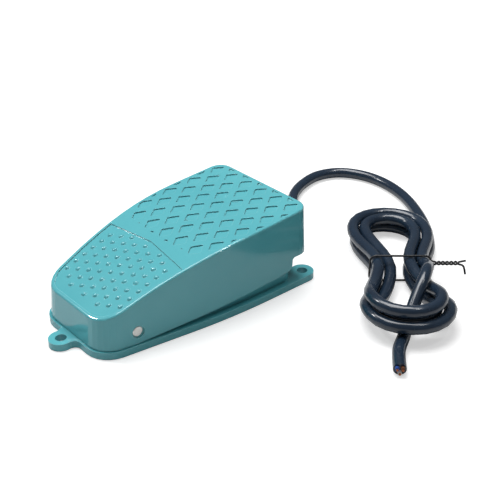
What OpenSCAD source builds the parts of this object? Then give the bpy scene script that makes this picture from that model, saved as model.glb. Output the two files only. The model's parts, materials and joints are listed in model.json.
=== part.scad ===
// Foot switch: a cast pedal that rocks on a hinge pin over a cast base with a snap-action switch inside.
// Floor at z = 0, +Y towards the cord end, +X to the right, origin under the middle of the castings.
// The pedal is drawn at rest, pushed up by its spring.

/* [Base casting] */
// Distance along the length from the front mounting hole to the rear pair
hole_span = 138; // [134:1:146]
// Diameter of each mounting hole
hole_d = 6; // [4.5:0.1:7]
// Radius of the ear round each mounting hole
ear_r = 6.5; // [6:0.1:8]
// Distance from the flange's edge to the middle of a hole
ear_reach = 5; // [4.5:0.1:6.5]
// Width of the flange along its straight rear part
base_w = 78; // [77:0.2:84]
// Width of the flange at its front edge, before the corners are rounded
nose_w = 57.2; // [55:0.2:60]
// Length of the tapered part of the flange
taper_l = 77; // [70:1:86]
// Radius of the flange's front corners, seen from above
nose_r = 14.5; // [12:0.5:16]
// Radius of the flange's rear corners, seen from above
corner_r = 9; // [7:0.5:10]
// Thickness of the flange and the ears
flange_t = 4; // [3.6:0.1:4.4]
// Height of the wall that stands inside the pedal
wall_h = 16; // [15.6:0.1:17]
// Thickness of the standing wall
wall_t = 2; // [1.6:0.1:2.4]
// Distance from the flange's edge to the standing wall
ledge_w = 4.2; // [4:0.1:5]
// Height of the floor inside the base
floor_t = 3; // [2.6:0.1:3.2]
// Depth of the recess under the base
recess_h = 1; // [0.6:0.1:1.4]

/* [Pedal casting] */
// Distance that the pedal's edge stays inside the flange's edge
pedal_inset = 0.8; // [0.6:0.1:1.2]
// Wall thickness of the pedal
pedal_t = 2; // [1.6:0.1:2.2]
// Height of the pedal's front edge
nose_h = 21.2; // [20.8:0.1:24]
// Height where the front slope would meet the rear slope
peak_h = 41.8; // [40.5:0.1:43]
// Height of the pedal's rear edge
tail_h = 47.4; // [46.6:0.1:49]
// Distance from the front edge of the top to where the slopes would meet
slope_l = 53.5; // [50:0.5:58]
// Radius of the bend between the two slopes
bend_r = 245; // [180:5:280]
// Amount by which the top is narrower than the lower edge, each side
draft_w = 0.4; // [0.2:0.1:1.2]
// Lean of the front face
nose_lean = 1.9; // [1.2:0.1:3.5]
// Lean of the rear face
tail_lean = 2.2; // [1:0.1:3]
// Overhang of the pedal behind the flange, at the foot of the rear face
tail_over = 6.5; // [5.5:0.1:7.5]
// Radius of the rounded top edge
rim_r = 1; // [0.6:0.1:1.8]
// Height of the lower edge over the flange at rest, in front of the pin
edge_gap = 0.4; // [0.3:0.1:0.6]
// Height of the lower edge behind the step, at rest
step_h = 19.4; // [18.5:0.1:21]
// Distance from the front mounting hole to the step in the lower edge
step_y = 125; // [122:0.5:127]

/* [Treads] */
// Distance from the front mounting hole to the front of the rear tread
tread_y = 62.9; // [60:0.1:66]
// Width of the plain border round the treads
border_w = 2; // [1.6:0.1:2.6]
// Distance between pockets across the pedal
pocket_pitch_x = 12.5; // [11:0.1:14]
// Distance between rows of pockets
pocket_pitch_y = 8.65; // [8:0.05:10]
// Width of a pocket, corner to corner
pocket_w = 8.1; // [6:0.1:8.8]
// Length of a pocket, corner to corner
pocket_l = 10.8; // [8:0.1:11.6]
// Depth of a pocket
pocket_h = 0.7; // [0.4:0.1:0.9]
// Distance between domes across the pedal
dome_pitch_x = 12.3; // [11:0.1:12.6]
// Distance between dome rows
dome_pitch_y = 2.78; // [2.6:0.02:2.9]
// Diameter of a dome
dome_d = 3; // [2.2:0.1:3.4]
// Height of a dome
dome_h = 0.9; // [0.5:0.1:1.2]
// Depth of the panel that holds the domes
panel_h = 0.6; // [0.3:0.1:0.8]

/* [Hinge and spring] */
// Distance from the front mounting hole to the hinge pin
pin_y = 27; // [25:0.5:30]
// Height of the hinge pin over the floor
pin_h = 11.2; // [10.6:0.1:12]
// Diameter of the hinge pin
pin_d = 6; // [5:0.1:6.4]
// Running clearance of the pedal on the pin, each side
pin_fit = 0.05; // [0.03:0.01:0.08]
// Angle that the pedal stands up at rest, and turns through when pressed
travel_a = 4.5; // [4:0.1:4.6]
// Outer diameter of the return spring
spring_d = 13; // [12:0.1:14]
// Thickness of the spring wire
spring_wire = 1.5; // [1.2:0.1:1.7]
// Height at which the spring meets the pedal
spring_h = 32; // [28:0.5:34]
// Distance from the front mounting hole to the spring
spring_y = 119; // [118:0.5:121]

/* [Switch] */
// Length of the switch case
case_l = 49.2; // [47:0.1:50]
// Width of the switch case over its lid
case_w = 17.4; // [16.4:0.1:18]
// Height of the switch case
case_h = 16; // [15.8:0.1:16.2]
// Wall of the switch case
case_t = 1.6; // [1.4:0.1:1.8]
// Height of the underside of the case
case_z = 12; // [11.8:0.1:12.2]
// Distance from the front mounting hole to the front of the case
case_y = 54.8; // [54:0.1:56]
// Distance between the two screws of the switch
screw_pitch = 25.4; // [25:0.1:26]
// Distance from the lever's pivot to the striker
striker_arm = 30; // [28:0.5:31]
// Distance from the lever's pivot to the plunger
plunger_arm = 9; // [8:0.1:10]
// Angle of the lever at rest
lever_a = 6.5; // [6:0.1:7]

/* [Cord] */
// Diameter of the cord
cord_d = 6.8; // [6.2:0.1:7]
// Height of the cord where it leaves the base
gland_h = 10.2; // [10:0.1:10.4]
// Distance from the middle of the base to the cord
gland_x = 18; // [16:0.5:20]
// Length of the tapered strain relief outside the wall
relief_l = 22; // [20:1:26]

/* [Hidden] */
$fn = 48;

// Colours of the castings, the metals and the plastics
teal = [0.24, 0.63, 0.65];
dark_teal = [0.16, 0.47, 0.50];
bright_steel = [0.78, 0.79, 0.80];
zinc = [0.66, 0.67, 0.68];
brass = [0.80, 0.64, 0.30];
silver = [0.88, 0.87, 0.84];
phenolic = [0.13, 0.10, 0.09];
lid_black = [0.16, 0.14, 0.13];
button_red = [0.62, 0.10, 0.09];
sheet_grey = [0.55, 0.60, 0.56];
cord_black = [0.10, 0.12, 0.15];
relief_black = [0.07, 0.08, 0.09];
core_brown = [0.36, 0.20, 0.10];
core_blue = [0.10, 0.24, 0.60];
core_white = [0.90, 0.90, 0.87];
tie_black = [0.05, 0.05, 0.06];

// Overrun of every cut past the face that it opens
over = 0.5;
// Steps in a rounded corner of an outline
arc_steps = 6;
// Gap between two still pieces that lie on each other
seat_gap = 0.05;
// Gap left between moving pieces and what they pass
move_gap = 0.3;

// Places along the length, measured from the origin
hole_y = hole_span/2;
front_y = ear_reach - hole_y;
rear_y = hole_y - ear_reach;
bend_y = front_y + taper_l;
axis_y = pin_y - hole_y;
ear_x = base_w/2 - ear_r;
ear_neck_r = ear_r/2;
flange_bend_r = 5*taper_l;

// Points of an outline with its corners rounded
function unit(v) = v/norm(v);
function arc_points(a, b, c, r, n) =
  let (u = unit(a - b), v = unit(c - b), h = acos(u*v)/2,
       m = b + unit(u + v)*r/sin(h), p = b + u*r/tan(h) - m, q = b + v*r/tan(h) - m,
       s = atan2(p.x*q.y - p.y*q.x, p*q))
  [for (i = [0:n]) m + [p.x*cos(s*i/n) - p.y*sin(s*i/n), p.x*sin(s*i/n) + p.y*cos(s*i/n)]];
function split(a, b, n) = [for (i = [1:n - 1]) a + (b - a)*i/n];
function rounded(p, r, n = arc_steps) = [for (i = [0:len(p) - 1])
  each r[i] == 0 ? [p[i]]
    : arc_points(p[(i + len(p) - 1)%len(p)], p[i], p[(i + 1)%len(p)], r[i], n)];
function both_sides(h) = concat(h, [for (i = [len(h) - 1:-1:0]) [-h[i].x, h[i].y]]);

// Right half of a casting's outline, seen from above, from its nose to its tail
function half_outline(nose, half, y0, yb, y1, r0, rb, r1, n = arc_steps) =
  let (a = arc_points([0, y0], [nose, y0], [half, yb], r0, n),
       b = arc_points([nose, y0], [half, yb], [half, y1], rb, n),
       c = arc_points([half, yb], [half, y1], [0, y1], r1, n))
  concat(a, split(a[n], b[0], 2*n), b, split(b[n], c[0], n), c);
function flange_half(d) = half_outline(nose_w/2 - d, base_w/2 - d, front_y + d,
  bend_y, rear_y - d, nose_r - d, flange_bend_r, corner_r - d);

// The pedal's top, seen from the side: a front slope, a bend and a rear slope
top_front_y = front_y + pedal_inset + nose_lean;
top_rear_y = rear_y + tail_over - tail_lean;
peak_y = top_front_y + slope_l;
front_a = atan((peak_h - nose_h)/slope_l);
rear_a = atan((tail_h - peak_h)/(top_rear_y - peak_y));
bend_t = bend_r*tan((front_a - rear_a)/2);
bend_y0 = peak_y - bend_t*cos(front_a);
bend_y1 = peak_y + bend_t*cos(rear_a);
bend_my = bend_y0 + bend_r*sin(front_a);
bend_mz = peak_h - bend_t*sin(front_a) - bend_r*cos(front_a);
function top_z(y) = y < bend_y0 ? peak_h - (peak_y - y)*tan(front_a)
  : y > bend_y1 ? peak_h + (y - peak_y)*tan(rear_a)
  : bend_mz + sqrt(bend_r*bend_r - (y - bend_my)*(y - bend_my));
function top_a(y) = y < bend_y0 ? front_a : y > bend_y1 ? rear_a : asin((bend_my - y)/bend_r);

// Right half of the pedal's outline at a share of its height, drawn in by d
pedal_nose_r = nose_r - pedal_inset;
pedal_corner_r = corner_r - pedal_inset;
wall_nose_r = pedal_nose_r - pedal_t;
wall_corner_r = pedal_corner_r - pedal_t;
function pedal_half(share, d) = half_outline(
  nose_w/2 - pedal_inset - draft_w*share - d,
  base_w/2 - pedal_inset - draft_w*share - d,
  front_y + pedal_inset + nose_lean*share + d, bend_y,
  rear_y + tail_over - tail_lean*share - d,
  pedal_nose_r - d, flange_bend_r, pedal_corner_r - d);

// A closed skin over rings of points that all have the same count, the last one capped by strips
function ring_bands(n, k) = [for (j = [0:k - 2], i = [0:n - 1]) let (a = j*n, b = a + n, s = (i + 1)%n)
  each [[a + i, b + s, a + s], [a + i, b + i, b + s]]];
function cap_strips(a, n) = [for (i = [0:n/2 - 2]) let (p = a + i, q = a + n - 1 - i)
  each [[p, q, p + 1], [p + 1, q, q - 1]]];
function flipped(f) = [for (t = f) [t[2], t[1], t[0]]];
// Pedal's outer or inner skin: two rings, and more round the rounded top edge
module pedal_skin(inset, drop, rim) {
  steps = rim > 0 ? arc_steps - 2 : 0;
  lifts = rim > 0 ? [for (i = [0:steps]) 90*i/steps] : [0];
  rings = concat([both_sides(pedal_half(0, inset))],
    [for (a = lifts) both_sides(pedal_half(1, inset + rim*(1 - cos(a))))]);
  n = len(rings[0]);
  points = [for (k = [0:len(rings) - 1], p = rings[k])
    [p.x, p.y, k == 0 ? (rim > 0 ? 0 : -over) : top_z(p.y) - drop - rim*(1 - sin(lifts[k - 1]))]];
  polyhedron(points, concat(ring_bands(n, len(rings)), cap_strips((len(rings) - 1)*n, n),
    flipped(cap_strips(0, n))));
}

// Lower edge of the pedal at rest: level in front of the pin, then rising to a step near the rear
edge_z = flange_t + edge_gap;
step_at = step_y - hole_y;
edge_step_z = edge_z + (step_at - axis_y)*tan(travel_a);
edge_round_r = pedal_t*2;
step_round_r = pedal_t;
tail_foot_y = rear_y + tail_over - tail_lean*step_h/tail_h;
module pedal_edge_cut() {
  far = base_w;
  outline = rounded([[-far, -over], [-far, edge_z], [axis_y, edge_z], [step_at, edge_step_z],
    [step_at, step_h], [tail_foot_y, step_h], [tail_foot_y, tail_h], [far, tail_h], [far, -over]],
    [0, 0, 0, edge_round_r, step_round_r, pedal_t + step_round_r, 0, 0, 0]);
  rotate([90, 0, 90]) translate([0, 0, -far/2 - over]) linear_extrude(far + 2*over) polygon(outline);
}

// Everything under the pedal's top surface, lowered by a depth
module under_top(depth) {
  stations = [for (i = [0:2*arc_steps]) bend_y0 + (bend_y1 - bend_y0)*i/(2*arc_steps)];
  edge = concat([[-base_w, top_z(-base_w)]], [for (y = stations) [y, top_z(y)]], [[base_w, top_z(base_w)]],
    [[base_w, -base_w], [-base_w, -base_w]]);
  translate([0, 0, -depth]) rotate([90, 0, 90]) translate([0, 0, -base_w/2])
    linear_extrude(base_w) polygon(edge);
}

// Half width of a line across the tapered part of an outline
function taper_x(nose, half, y0, y) = nose + (half - nose)*(y - y0)/(bend_y - y0);
top_inset = pedal_inset + draft_w + border_w;
function border_x(y) = taper_x(nose_w/2 - top_inset, base_w/2 - top_inset, top_front_y + border_w, y);

// Rear tread: staggered pockets inside a border
band_w = 4.4;
field_front_y = tread_y - hole_y;
field_rise = border_w;
pocket_row_y = field_front_y + pocket_l/2;
pocket_round_r = pocket_h;
module tread_border() {
  y = field_front_y + field_rise;
  h = [for (p = pedal_half(1, border_w)) if (p.y > y) p];
  polygon(concat([[0, field_front_y], [border_x(y), y]], h,
    [for (i = [len(h) - 1:-1:0]) [-h[i].x, h[i].y]], [[-border_x(y), y]]));
}
module pocket() {
  w = pocket_w/2;
  l = pocket_l/2;
  linear_extrude(2*tail_h - 2*peak_h)
    polygon(rounded([[w, 0], [0, l], [-w, 0], [0, -l]], [for (i = [0:3]) pocket_round_r], 2));
}
module pockets() {
  rows = ceil((top_rear_y - pocket_row_y)/pocket_pitch_y);
  columns = ceil(base_w/2/pocket_pitch_x);
  intersection() {
    linear_extrude(2*tail_h) tread_border();
    union() {
      for (j = [-1:rows], i = [-columns:columns]) {
        y = pocket_row_y + j*pocket_pitch_y;
        x = (i + (j%2 == 0 ? 0 : 1/2))*pocket_pitch_x;
        if (abs(x) < base_w/2 && y < top_rear_y + pocket_l/2)
          translate([x, y, top_z(y)]) rotate([top_a(y), 0, 0]) translate([0, 0, -pocket_h]) pocket();
      }
    }
  }
}

// Front tread: a sunk panel that holds rows of domes
panel_front_y = top_front_y + border_w;
panel_rear_y = field_front_y - band_w;
panel_rise = 2*border_w;
dome_count = 15;
dome_row_y = panel_rear_y - 2*border_w;
dome_ball_r = (dome_d*dome_d/4 + dome_h*dome_h)/(2*dome_h);
module panel_outline() {
  y = panel_rear_y - panel_rise;
  h = [for (p = pedal_half(1, border_w)) if (p.y < y) p];
  polygon(concat(h, [[border_x(y), y], [0, panel_rear_y], [-border_x(y), y]],
    [for (i = [len(h) - 1:-1:0]) [-h[i].x, h[i].y]]));
}
module panel_cut() {
  difference() {
    linear_extrude(2*tail_h) panel_outline();
    under_top(panel_h);
  }
}
module domes() {
  for (j = [0:dome_count - 1], i = [-2:2]) {
    odd = j%2;
    x = (i + odd/2)*dome_pitch_x;
    y = dome_row_y - j*dome_pitch_y;
    end_row = j == 0 || j == dome_count - 1;
    if ((odd == 0 || i < 2) && (!end_row || abs(i) < 2))
      translate([x, y, top_z(y)]) rotate([top_a(y), 0, 0]) translate([0, 0, dome_h - panel_h - dome_ball_r])
        sphere(dome_ball_r);
  }
}

// Half widths of the pedal and of the base at the hinge pin
pin_share = pin_h/top_z(axis_y);
pedal_pin_x = taper_x(nose_w/2 - pedal_inset - draft_w*pin_share, base_w/2 - pedal_inset - draft_w*pin_share,
  front_y + pedal_inset + nose_lean*pin_share, axis_y);
wall_pin_x = taper_x(nose_w/2 - ledge_w, base_w/2 - ledge_w, front_y + nose_lean + ledge_w, axis_y);
mouth_d = 7;
mouth_h = 0.6;
pin_recess = 0.5;
pin_half = pedal_pin_x - pin_recess;
notch_top_h = 25.5;
notch_w = 12.4;
module along_x(x0, x1, y, z, r) {
  translate([x0, y, z]) rotate([0, 90, 0]) cylinder(h = x1 - x0, r = r);
}

// Places of the spring, the striker and the parts of the switch
spring_cy = spring_y - hole_y;
case_y0 = case_y - hole_y;
case_y1 = case_y0 + case_l;
case_top = case_z + case_h;
lid_x = case_w/2 - case_t;
pivot_in = 2.2;
pivot_y = case_y0 + pivot_in;
pivot_h = 2.2;
pivot_z = case_top + pivot_h;
lever_t = 0.8;
lever_w = 5;
lever_l = 34;
lever_eye_r = 1.5;
lever_pin_r = 0.8;
striker_y = pivot_y + striker_arm;
plunger_y = pivot_y + plunger_arm;
lever_ratio = 2;
striker_tip_z = pivot_z + striker_arm*tan(lever_a) + lever_t/2/cos(lever_a) + move_gap;
striker_r = 2;
boss_d = 9;
boss_gap = 3.5;
boss_z = striker_tip_z + boss_gap;
striker_grip = 3.2;
spring_boss_d = 15;
peg_d = spring_d - 2*spring_wire - 2*move_gap;
peg_h = 5;
module pedal_cover() {
  color(teal) {
    difference() {
      union() {
        difference() {
          union() {
            difference() {
              pedal_skin(0, 0, rim_r);
              panel_cut();
              pockets();
            }
            domes();
          }
          pedal_skin(pedal_t, pedal_t, 0);
        }
        translate([0, spring_cy, spring_h])
          cylinder(h = top_z(spring_cy) - spring_h - pedal_t/2, d = spring_boss_d);
        translate([0, spring_cy, spring_h - peg_h]) cylinder(h = peg_h + over, d = peg_d);
        translate([0, striker_y, boss_z]) cylinder(h = top_z(striker_y) - boss_z - pedal_t/2, d = boss_d);
      }
      pedal_edge_cut();
      along_x(-base_w, base_w, axis_y, pin_h, pin_d/2 + pin_fit);
      for (s = [-1, 1]) translate([s*(pedal_pin_x - mouth_h), axis_y, pin_h]) rotate([0, s*90, 0])
        cylinder(h = base_w, d = mouth_d);
      translate([-gland_x, 0, notch_top_h - notch_w/2]) rotate([-90, 0, 0])
        cylinder(h = base_w, d = notch_w);
      translate([-gland_x - notch_w/2, 0, 0]) cube([notch_w, base_w, notch_top_h - notch_w/2]);
      translate([0, striker_y, boss_z - over]) cylinder(h = striker_grip + over, r = striker_r + seat_gap);
    }
  }
}

// Base: a flange with three ears, a wall that stands inside the pedal, and seats for what it carries
recess_rim = 5;
rib_w = 3;
rib_count = 3;
lug_d = 11;
lug_in = 4.4;
pad_d = 9;
pad_h = 3;
small_screw_r = 1.5;
pad_x = 16;
pad_y0 = 0;
pad_y1 = 21;
clamp_x = 7.8;
clamp_y = spring_cy;
clamp_boss_d = 6;
clamp_boss_top = 8;
bed_w = 6;
gland_d = 8.6;
wall_back_y = rear_y - ledge_w;
lug_x = wall_pin_x - wall_t - lug_in;
module flange() {
  linear_extrude(flange_t) difference() {
    union() {
      polygon(both_sides(flange_half(0)));
      for (p = [[0, -hole_y], [-ear_x, hole_y], [ear_x, hole_y]]) translate(p) circle(ear_r);
      for (s = [-1, 1]) translate([s*ear_x - ear_r, rear_y - 2*ear_r]) square([2*ear_r, 2*ear_r + ear_reach]);
      ear_necks();
    }
    for (p = [[0, -hole_y], [-ear_x, hole_y], [ear_x, hole_y]]) translate(p) circle(d = hole_d);
  }
}
module ear_necks() {
  neck_x = ear_r + ear_neck_r;
  difference() {
    translate([-neck_x, front_y - ear_neck_r]) square([2*neck_x, 2*ear_neck_r]);
    for (s = [-1, 1]) translate([s*neck_x, front_y - ear_neck_r]) circle(ear_neck_r);
  }
  for (s = [-1, 1]) difference() {
    translate([s*ear_x - ear_r - (s > 0 ? ear_neck_r : 0), rear_y - ear_neck_r])
      square([2*ear_r + ear_neck_r, 2*ear_neck_r]);
    translate([s*(ear_x - ear_r - ear_neck_r), rear_y + ear_neck_r]) circle(ear_neck_r);
  }
}
function wall_half(d) = half_outline(nose_w/2 - ledge_w - d, base_w/2 - ledge_w - d,
  front_y + nose_lean + ledge_w + d, bend_y, rear_y - ledge_w - d,
  wall_nose_r - d, flange_bend_r, wall_corner_r - d);
module standing_wall() {
  translate([0, 0, flange_t - over]) linear_extrude(wall_h - flange_t + over) difference() {
    polygon(both_sides(wall_half(0)));
    polygon(both_sides(wall_half(wall_t)));
  }
}
module underside_recess() {
  translate([0, 0, -over]) linear_extrude(recess_h + over) difference() {
    polygon(both_sides(flange_half(recess_rim)));
    for (i = [0:rib_count - 1])
      translate([-base_w, front_y + (i + 1)*(rear_y - front_y)/(rib_count + 1) - rib_w/2])
        square([2*base_w, rib_w]);
    translate([-rib_w/2, front_y]) square([rib_w, rear_y - front_y]);
  }
}
module base_tray() {
  color(dark_teal) difference() {
    union() {
      difference() {
        flange();
        translate([0, 0, floor_t]) linear_extrude(flange_t) polygon(both_sides(wall_half(wall_t)));
      }
      standing_wall();
      for (s = [-1, 1]) {
        x0 = s > 0 ? lug_x : -wall_pin_x + wall_t/2;
        along_x(x0, x0 + lug_in + wall_t/2, axis_y, pin_h, lug_d/2);
        translate([x0, axis_y - lug_d/2, floor_t - over])
          cube([lug_in + wall_t/2, lug_d, pin_h - floor_t + over]);
        translate([-gland_x + s*clamp_x, clamp_y, floor_t - over])
          cylinder(h = clamp_boss_top - floor_t + over, d = clamp_boss_d);
      }
      for (y = [pad_y0, pad_y1]) translate([pad_x, y, floor_t - over]) cylinder(h = pad_h + over, d = pad_d);
      translate([0, spring_cy, floor_t - over]) cylinder(h = peg_h + over, d = peg_d);
      translate([-gland_x - bed_w/2, clamp_y - bed_w/2, floor_t - over])
        cube([bed_w, bed_w, gland_h - cord_d/2 - floor_t + over]);
    }
    underside_recess();
    along_x(-base_w, base_w, axis_y, pin_h, pin_d/2 + pin_fit);
    translate([-gland_x, clamp_y + clamp_boss_d, gland_h]) rotate([-90, 0, 0])
      cylinder(h = base_w, d = gland_d);
    for (y = [pad_y0, pad_y1]) translate([pad_x, y, floor_t - seat_gap])
      cylinder(h = base_w, r = small_screw_r + seat_gap);
    for (s = [-1, 1]) translate([-gland_x + s*clamp_x, clamp_y, floor_t - seat_gap])
      cylinder(h = base_w, r = small_screw_r + seat_gap);
  }
}

// Hinge pin with a groove for a clip inside each lug
groove_w = 0.8;
groove_r = 2.3;
clip_t = 0.7;
clip_r = 5;
pin_end_r = 0.4;
module hinge_pin() {
  x1 = pin_half - pin_end_r;
  g1 = lug_x;
  g0 = lug_x - groove_w;
  r = pin_d/2;
  color(bright_steel) translate([0, axis_y, pin_h]) rotate([0, 90, 0]) rotate_extrude()
    polygon([[0, -pin_half], [r - pin_end_r, -pin_half], [r, -x1], [r, -g1], [groove_r, -g1], [groove_r, -g0],
      [r, -g0], [r, g0], [groove_r, g0], [groove_r, g1], [r, g1], [r, x1],
      [r - pin_end_r, pin_half], [0, pin_half]]);
}
module pin_clips() {
  slot = 2*groove_r*7/8;
  color(zinc) for (s = [-1, 1])
    translate([s*(lug_x - groove_w/2) - clip_t/2, axis_y, pin_h]) rotate([0, 90, 0]) difference() {
      cylinder(h = clip_t, r = clip_r);
      translate([0, 0, -over]) cylinder(h = clip_t + 2*over, r = groove_r + seat_gap);
      translate([-slot/2, 0, -over]) cube([slot, clip_r + over, clip_t + 2*over]);
      for (t = [-1, 1]) translate([t*clip_r*3/5, -clip_r/5, -over]) cylinder(h = clip_t + 2*over, r = clip_t);
    }
}

// A tube swept along points: s and w square to the path, held upright by a third direction
module swept(path, r, sides, up) {
  n = len(path);
  points = [for (i = [0:n - 1])
    let (t = unit(path[min(i + 1, n - 1)] - path[max(i - 1, 0)]), s = unit(cross(t, up)), w = cross(s, t))
    for (k = [0:sides - 1]) path[i] + r*(s*cos(360*k/sides) + w*sin(360*k/sides))];
  polyhedron(points, concat(flipped(ring_bands(sides, n)), [[for (k = [sides - 1:-1:0]) k]],
    [[for (k = [0:sides - 1]) (n - 1)*sides + k]]));
}

// Return spring: an open helix between the base and the pedal, its end turns closed
spring_turns = 7;
spring_steps = 14;
spring_sides = 6;
module return_spring() {
  r = spring_d/2 - spring_wire/2;
  z0 = floor_t + spring_wire/2;
  z1 = spring_h - spring_wire/2;
  pitch_share = 1.06;
  rise = z1 - z0 - 2*spring_wire*pitch_share;
  n = spring_turns*spring_steps;
  path = [for (i = [0:n]) let (t = i/spring_steps,
    z = t < 1 ? t*spring_wire*pitch_share
      : t > spring_turns - 1 ? rise + spring_wire*pitch_share*(t - spring_turns + 2)
      : spring_wire*pitch_share + rise*(t - 1)/(spring_turns - 2))
    [r*cos(360*t), spring_cy + r*sin(360*t), z0 + z]];
  color(bright_steel) swept(path, spring_wire/2, spring_sides, [0, 0, 1]);
}

// Striker: a screw in the pedal's boss that pushes the lever, with its lock nut
nut_flat = 7;
nut_h = 2.6;
nut_d = nut_flat/cos(30);
module striker_screw() {
  top = boss_z + striker_grip - seat_gap;
  tip = striker_r/2;
  color(zinc) translate([0, striker_y, 0]) rotate_extrude()
    polygon([[0, striker_tip_z], [tip, striker_tip_z], [striker_r, striker_tip_z + tip], [striker_r, top],
      [0, top]]);
}
module striker_nut() {
  color(zinc) translate([0, striker_y, boss_z - nut_h - seat_gap]) difference() {
    cylinder(h = nut_h, d = nut_d, $fn = 6);
    translate([0, 0, -over]) cylinder(h = nut_h + 2*over, r = striker_r + seat_gap);
  }
}

// Switch case: an open box on its side, closed by a lid, with tubes for its two screws
screw_r = 2;
screw_z = case_z + 3;
tube_r = 3.2;
tab_w = 6.3;
tab_t = 0.8;
tab_foot_z = 6;
tab_in = 3.2;
last_tab_in = 4;
tab_pitch = 12.8;
common_y = case_y0 + tab_in;
closed_y = case_y1 - last_tab_in;
open_y = closed_y - tab_pitch;
plunger_r = 1.7;
case_mid_y = case_y0 + case_l/2;
lug_t = 1.6;
lug_l = 4;
lug_top = 1.4;
module screw_cuts(x0, x1) {
  for (s = [-1, 1]) along_x(x0, x1, case_mid_y + s*screw_pitch/2, screw_z, screw_r + seat_gap);
}
module tab_slots() {
  for (y = [common_y, open_y, closed_y])
    translate([-tab_w/2 - seat_gap, y - tab_t/2 - seat_gap, case_z - over])
      cube([tab_w + 2*seat_gap, tab_t + 2*seat_gap, case_t + 2*over]);
}
module switch_case() {
  color(phenolic) difference() {
    union() {
      difference() {
        translate([-case_w/2, case_y0, case_z]) cube([case_w/2 + lid_x, case_l, case_h]);
        translate([-lid_x, case_y0 + case_t, case_z + case_t])
          cube([2*lid_x + over, case_l - 2*case_t, case_h - 2*case_t]);
      }
      for (s = [-1, 1]) {
        along_x(-lid_x - over, lid_x, case_mid_y + s*screw_pitch/2, screw_z, tube_r);
        translate([s*(lever_w/2 + move_gap + lug_t/2) - lug_t/2, pivot_y - lug_l/2, case_top - over])
          cube([lug_t, lug_l, pivot_h + lug_top + over]);
      }
    }
    screw_cuts(-case_w, case_w);
    tab_slots();
    translate([0, plunger_y, case_top - case_t - over])
      cylinder(h = case_t + 2*over, r = plunger_r + pin_fit);
    along_x(-case_w, case_w, pivot_y, pivot_z, lever_pin_r + seat_gap);
  }
}
module switch_lid() {
  key = 1;
  color(lid_black) difference() {
    union() {
      translate([lid_x + seat_gap, case_y0, case_z]) cube([case_t - seat_gap, case_l, case_h]);
      translate([lid_x - key, case_y0 + case_t + seat_gap, case_top - 2*case_t])
        cube([key + over, case_l - 2*case_t - 2*seat_gap, case_t - seat_gap]);
    }
    screw_cuts(0, case_w);
  }
}
module switch_lever() {
  color(bright_steel) translate([0, pivot_y, pivot_z]) rotate([lever_a, 0, 0]) difference() {
    union() {
      translate([-lever_w/2, 0, -lever_t/2]) cube([lever_w, lever_l, lever_t]);
      along_x(-lever_w/2, lever_w/2, 0, 0, lever_eye_r);
    }
    along_x(-lever_w, lever_w, 0, 0, lever_pin_r + seat_gap);
  }
}
module lever_pin() {
  half = lever_w/2 + move_gap + lug_t;
  color(zinc) along_x(-half, half, pivot_y, pivot_z, lever_pin_r);
}
plunger_top = pivot_z + plunger_arm*tan(lever_a) - lever_t/2/cos(lever_a) - seat_gap;
plunger_travel = 1.4;
collar_r = 2.7;
collar_h = 3.1;
module switch_plunger() {
  top = case_top - case_t - seat_gap;
  round_r = plunger_r/2;
  color(button_red) translate([0, plunger_y, 0]) rotate_extrude()
    polygon([[0, top - collar_h], [collar_r, top - collar_h], [collar_r, top], [plunger_r, top],
      [plunger_r, plunger_top - round_r], [plunger_r*2/3, plunger_top - round_r/3], [0, plunger_top]]);
}

// Contacts: a blade that moves between a closed contact above and an open contact below
blade_t = 0.4;
blade_w = 5;
blade_in = 6.2;
blade_end_gap = 5;
blade_l = case_l - blade_in - blade_end_gap;
blade_y = case_y0 + blade_in;
blade_z = case_z + 9.6;
point_r = 1.8;
point_t = 0.4;
point_in = 2;
point_y = blade_y + blade_l - point_in;
contact_gap = 1.4;
blade_roll_r = blade_t;
module contact_blade() {
  color(brass) union() {
    difference() {
      translate([-blade_w/2, blade_y, blade_z - blade_t/2]) cube([blade_w, blade_l, blade_t]);
      translate([-blade_w/4, blade_y + blade_l/4, blade_z - blade_t]) cube([blade_w/2, blade_l/3, 2*blade_t]);
    }
    along_x(-blade_w/2, blade_w/2, blade_y, blade_z, blade_roll_r);
    translate([0, point_y, blade_z - blade_t/2 - point_t]) cylinder(h = blade_t + 2*point_t, r = point_r);
  }
}
module terminal(y, z1, reach, z_shelf) {
  translate([-tab_w/2, y - tab_t/2, tab_foot_z]) cube([tab_w, tab_t, z1 - tab_foot_z]);
  y0 = min(y - tab_t/2, y + reach);
  translate([-tab_w/2, y0, z_shelf]) cube([tab_w, abs(reach) + tab_t/2, tab_t]);
}
module common_terminal() {
  z = blade_z - blade_roll_r - seat_gap - tab_t;
  color(brass) terminal(common_y, z + tab_t, blade_y + 2*tab_t - common_y, z);
}
module closed_terminal() {
  z = blade_z + blade_t/2 + point_t + seat_gap + point_t;
  color(brass) union() {
    terminal(closed_y, z + tab_t, point_y - point_r - closed_y, z);
    translate([0, point_y, z - point_t]) cylinder(h = point_t + tab_t/2, r = point_r);
  }
}
module open_terminal() {
  z = blade_z - blade_t/2 - point_t - contact_gap - point_t - tab_t;
  color(brass) union() {
    terminal(open_y, z + tab_t, point_y + point_r - open_y, z);
    translate([0, point_y, z + tab_t/2]) cylinder(h = point_t + tab_t/2, r = point_r);
  }
}

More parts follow.
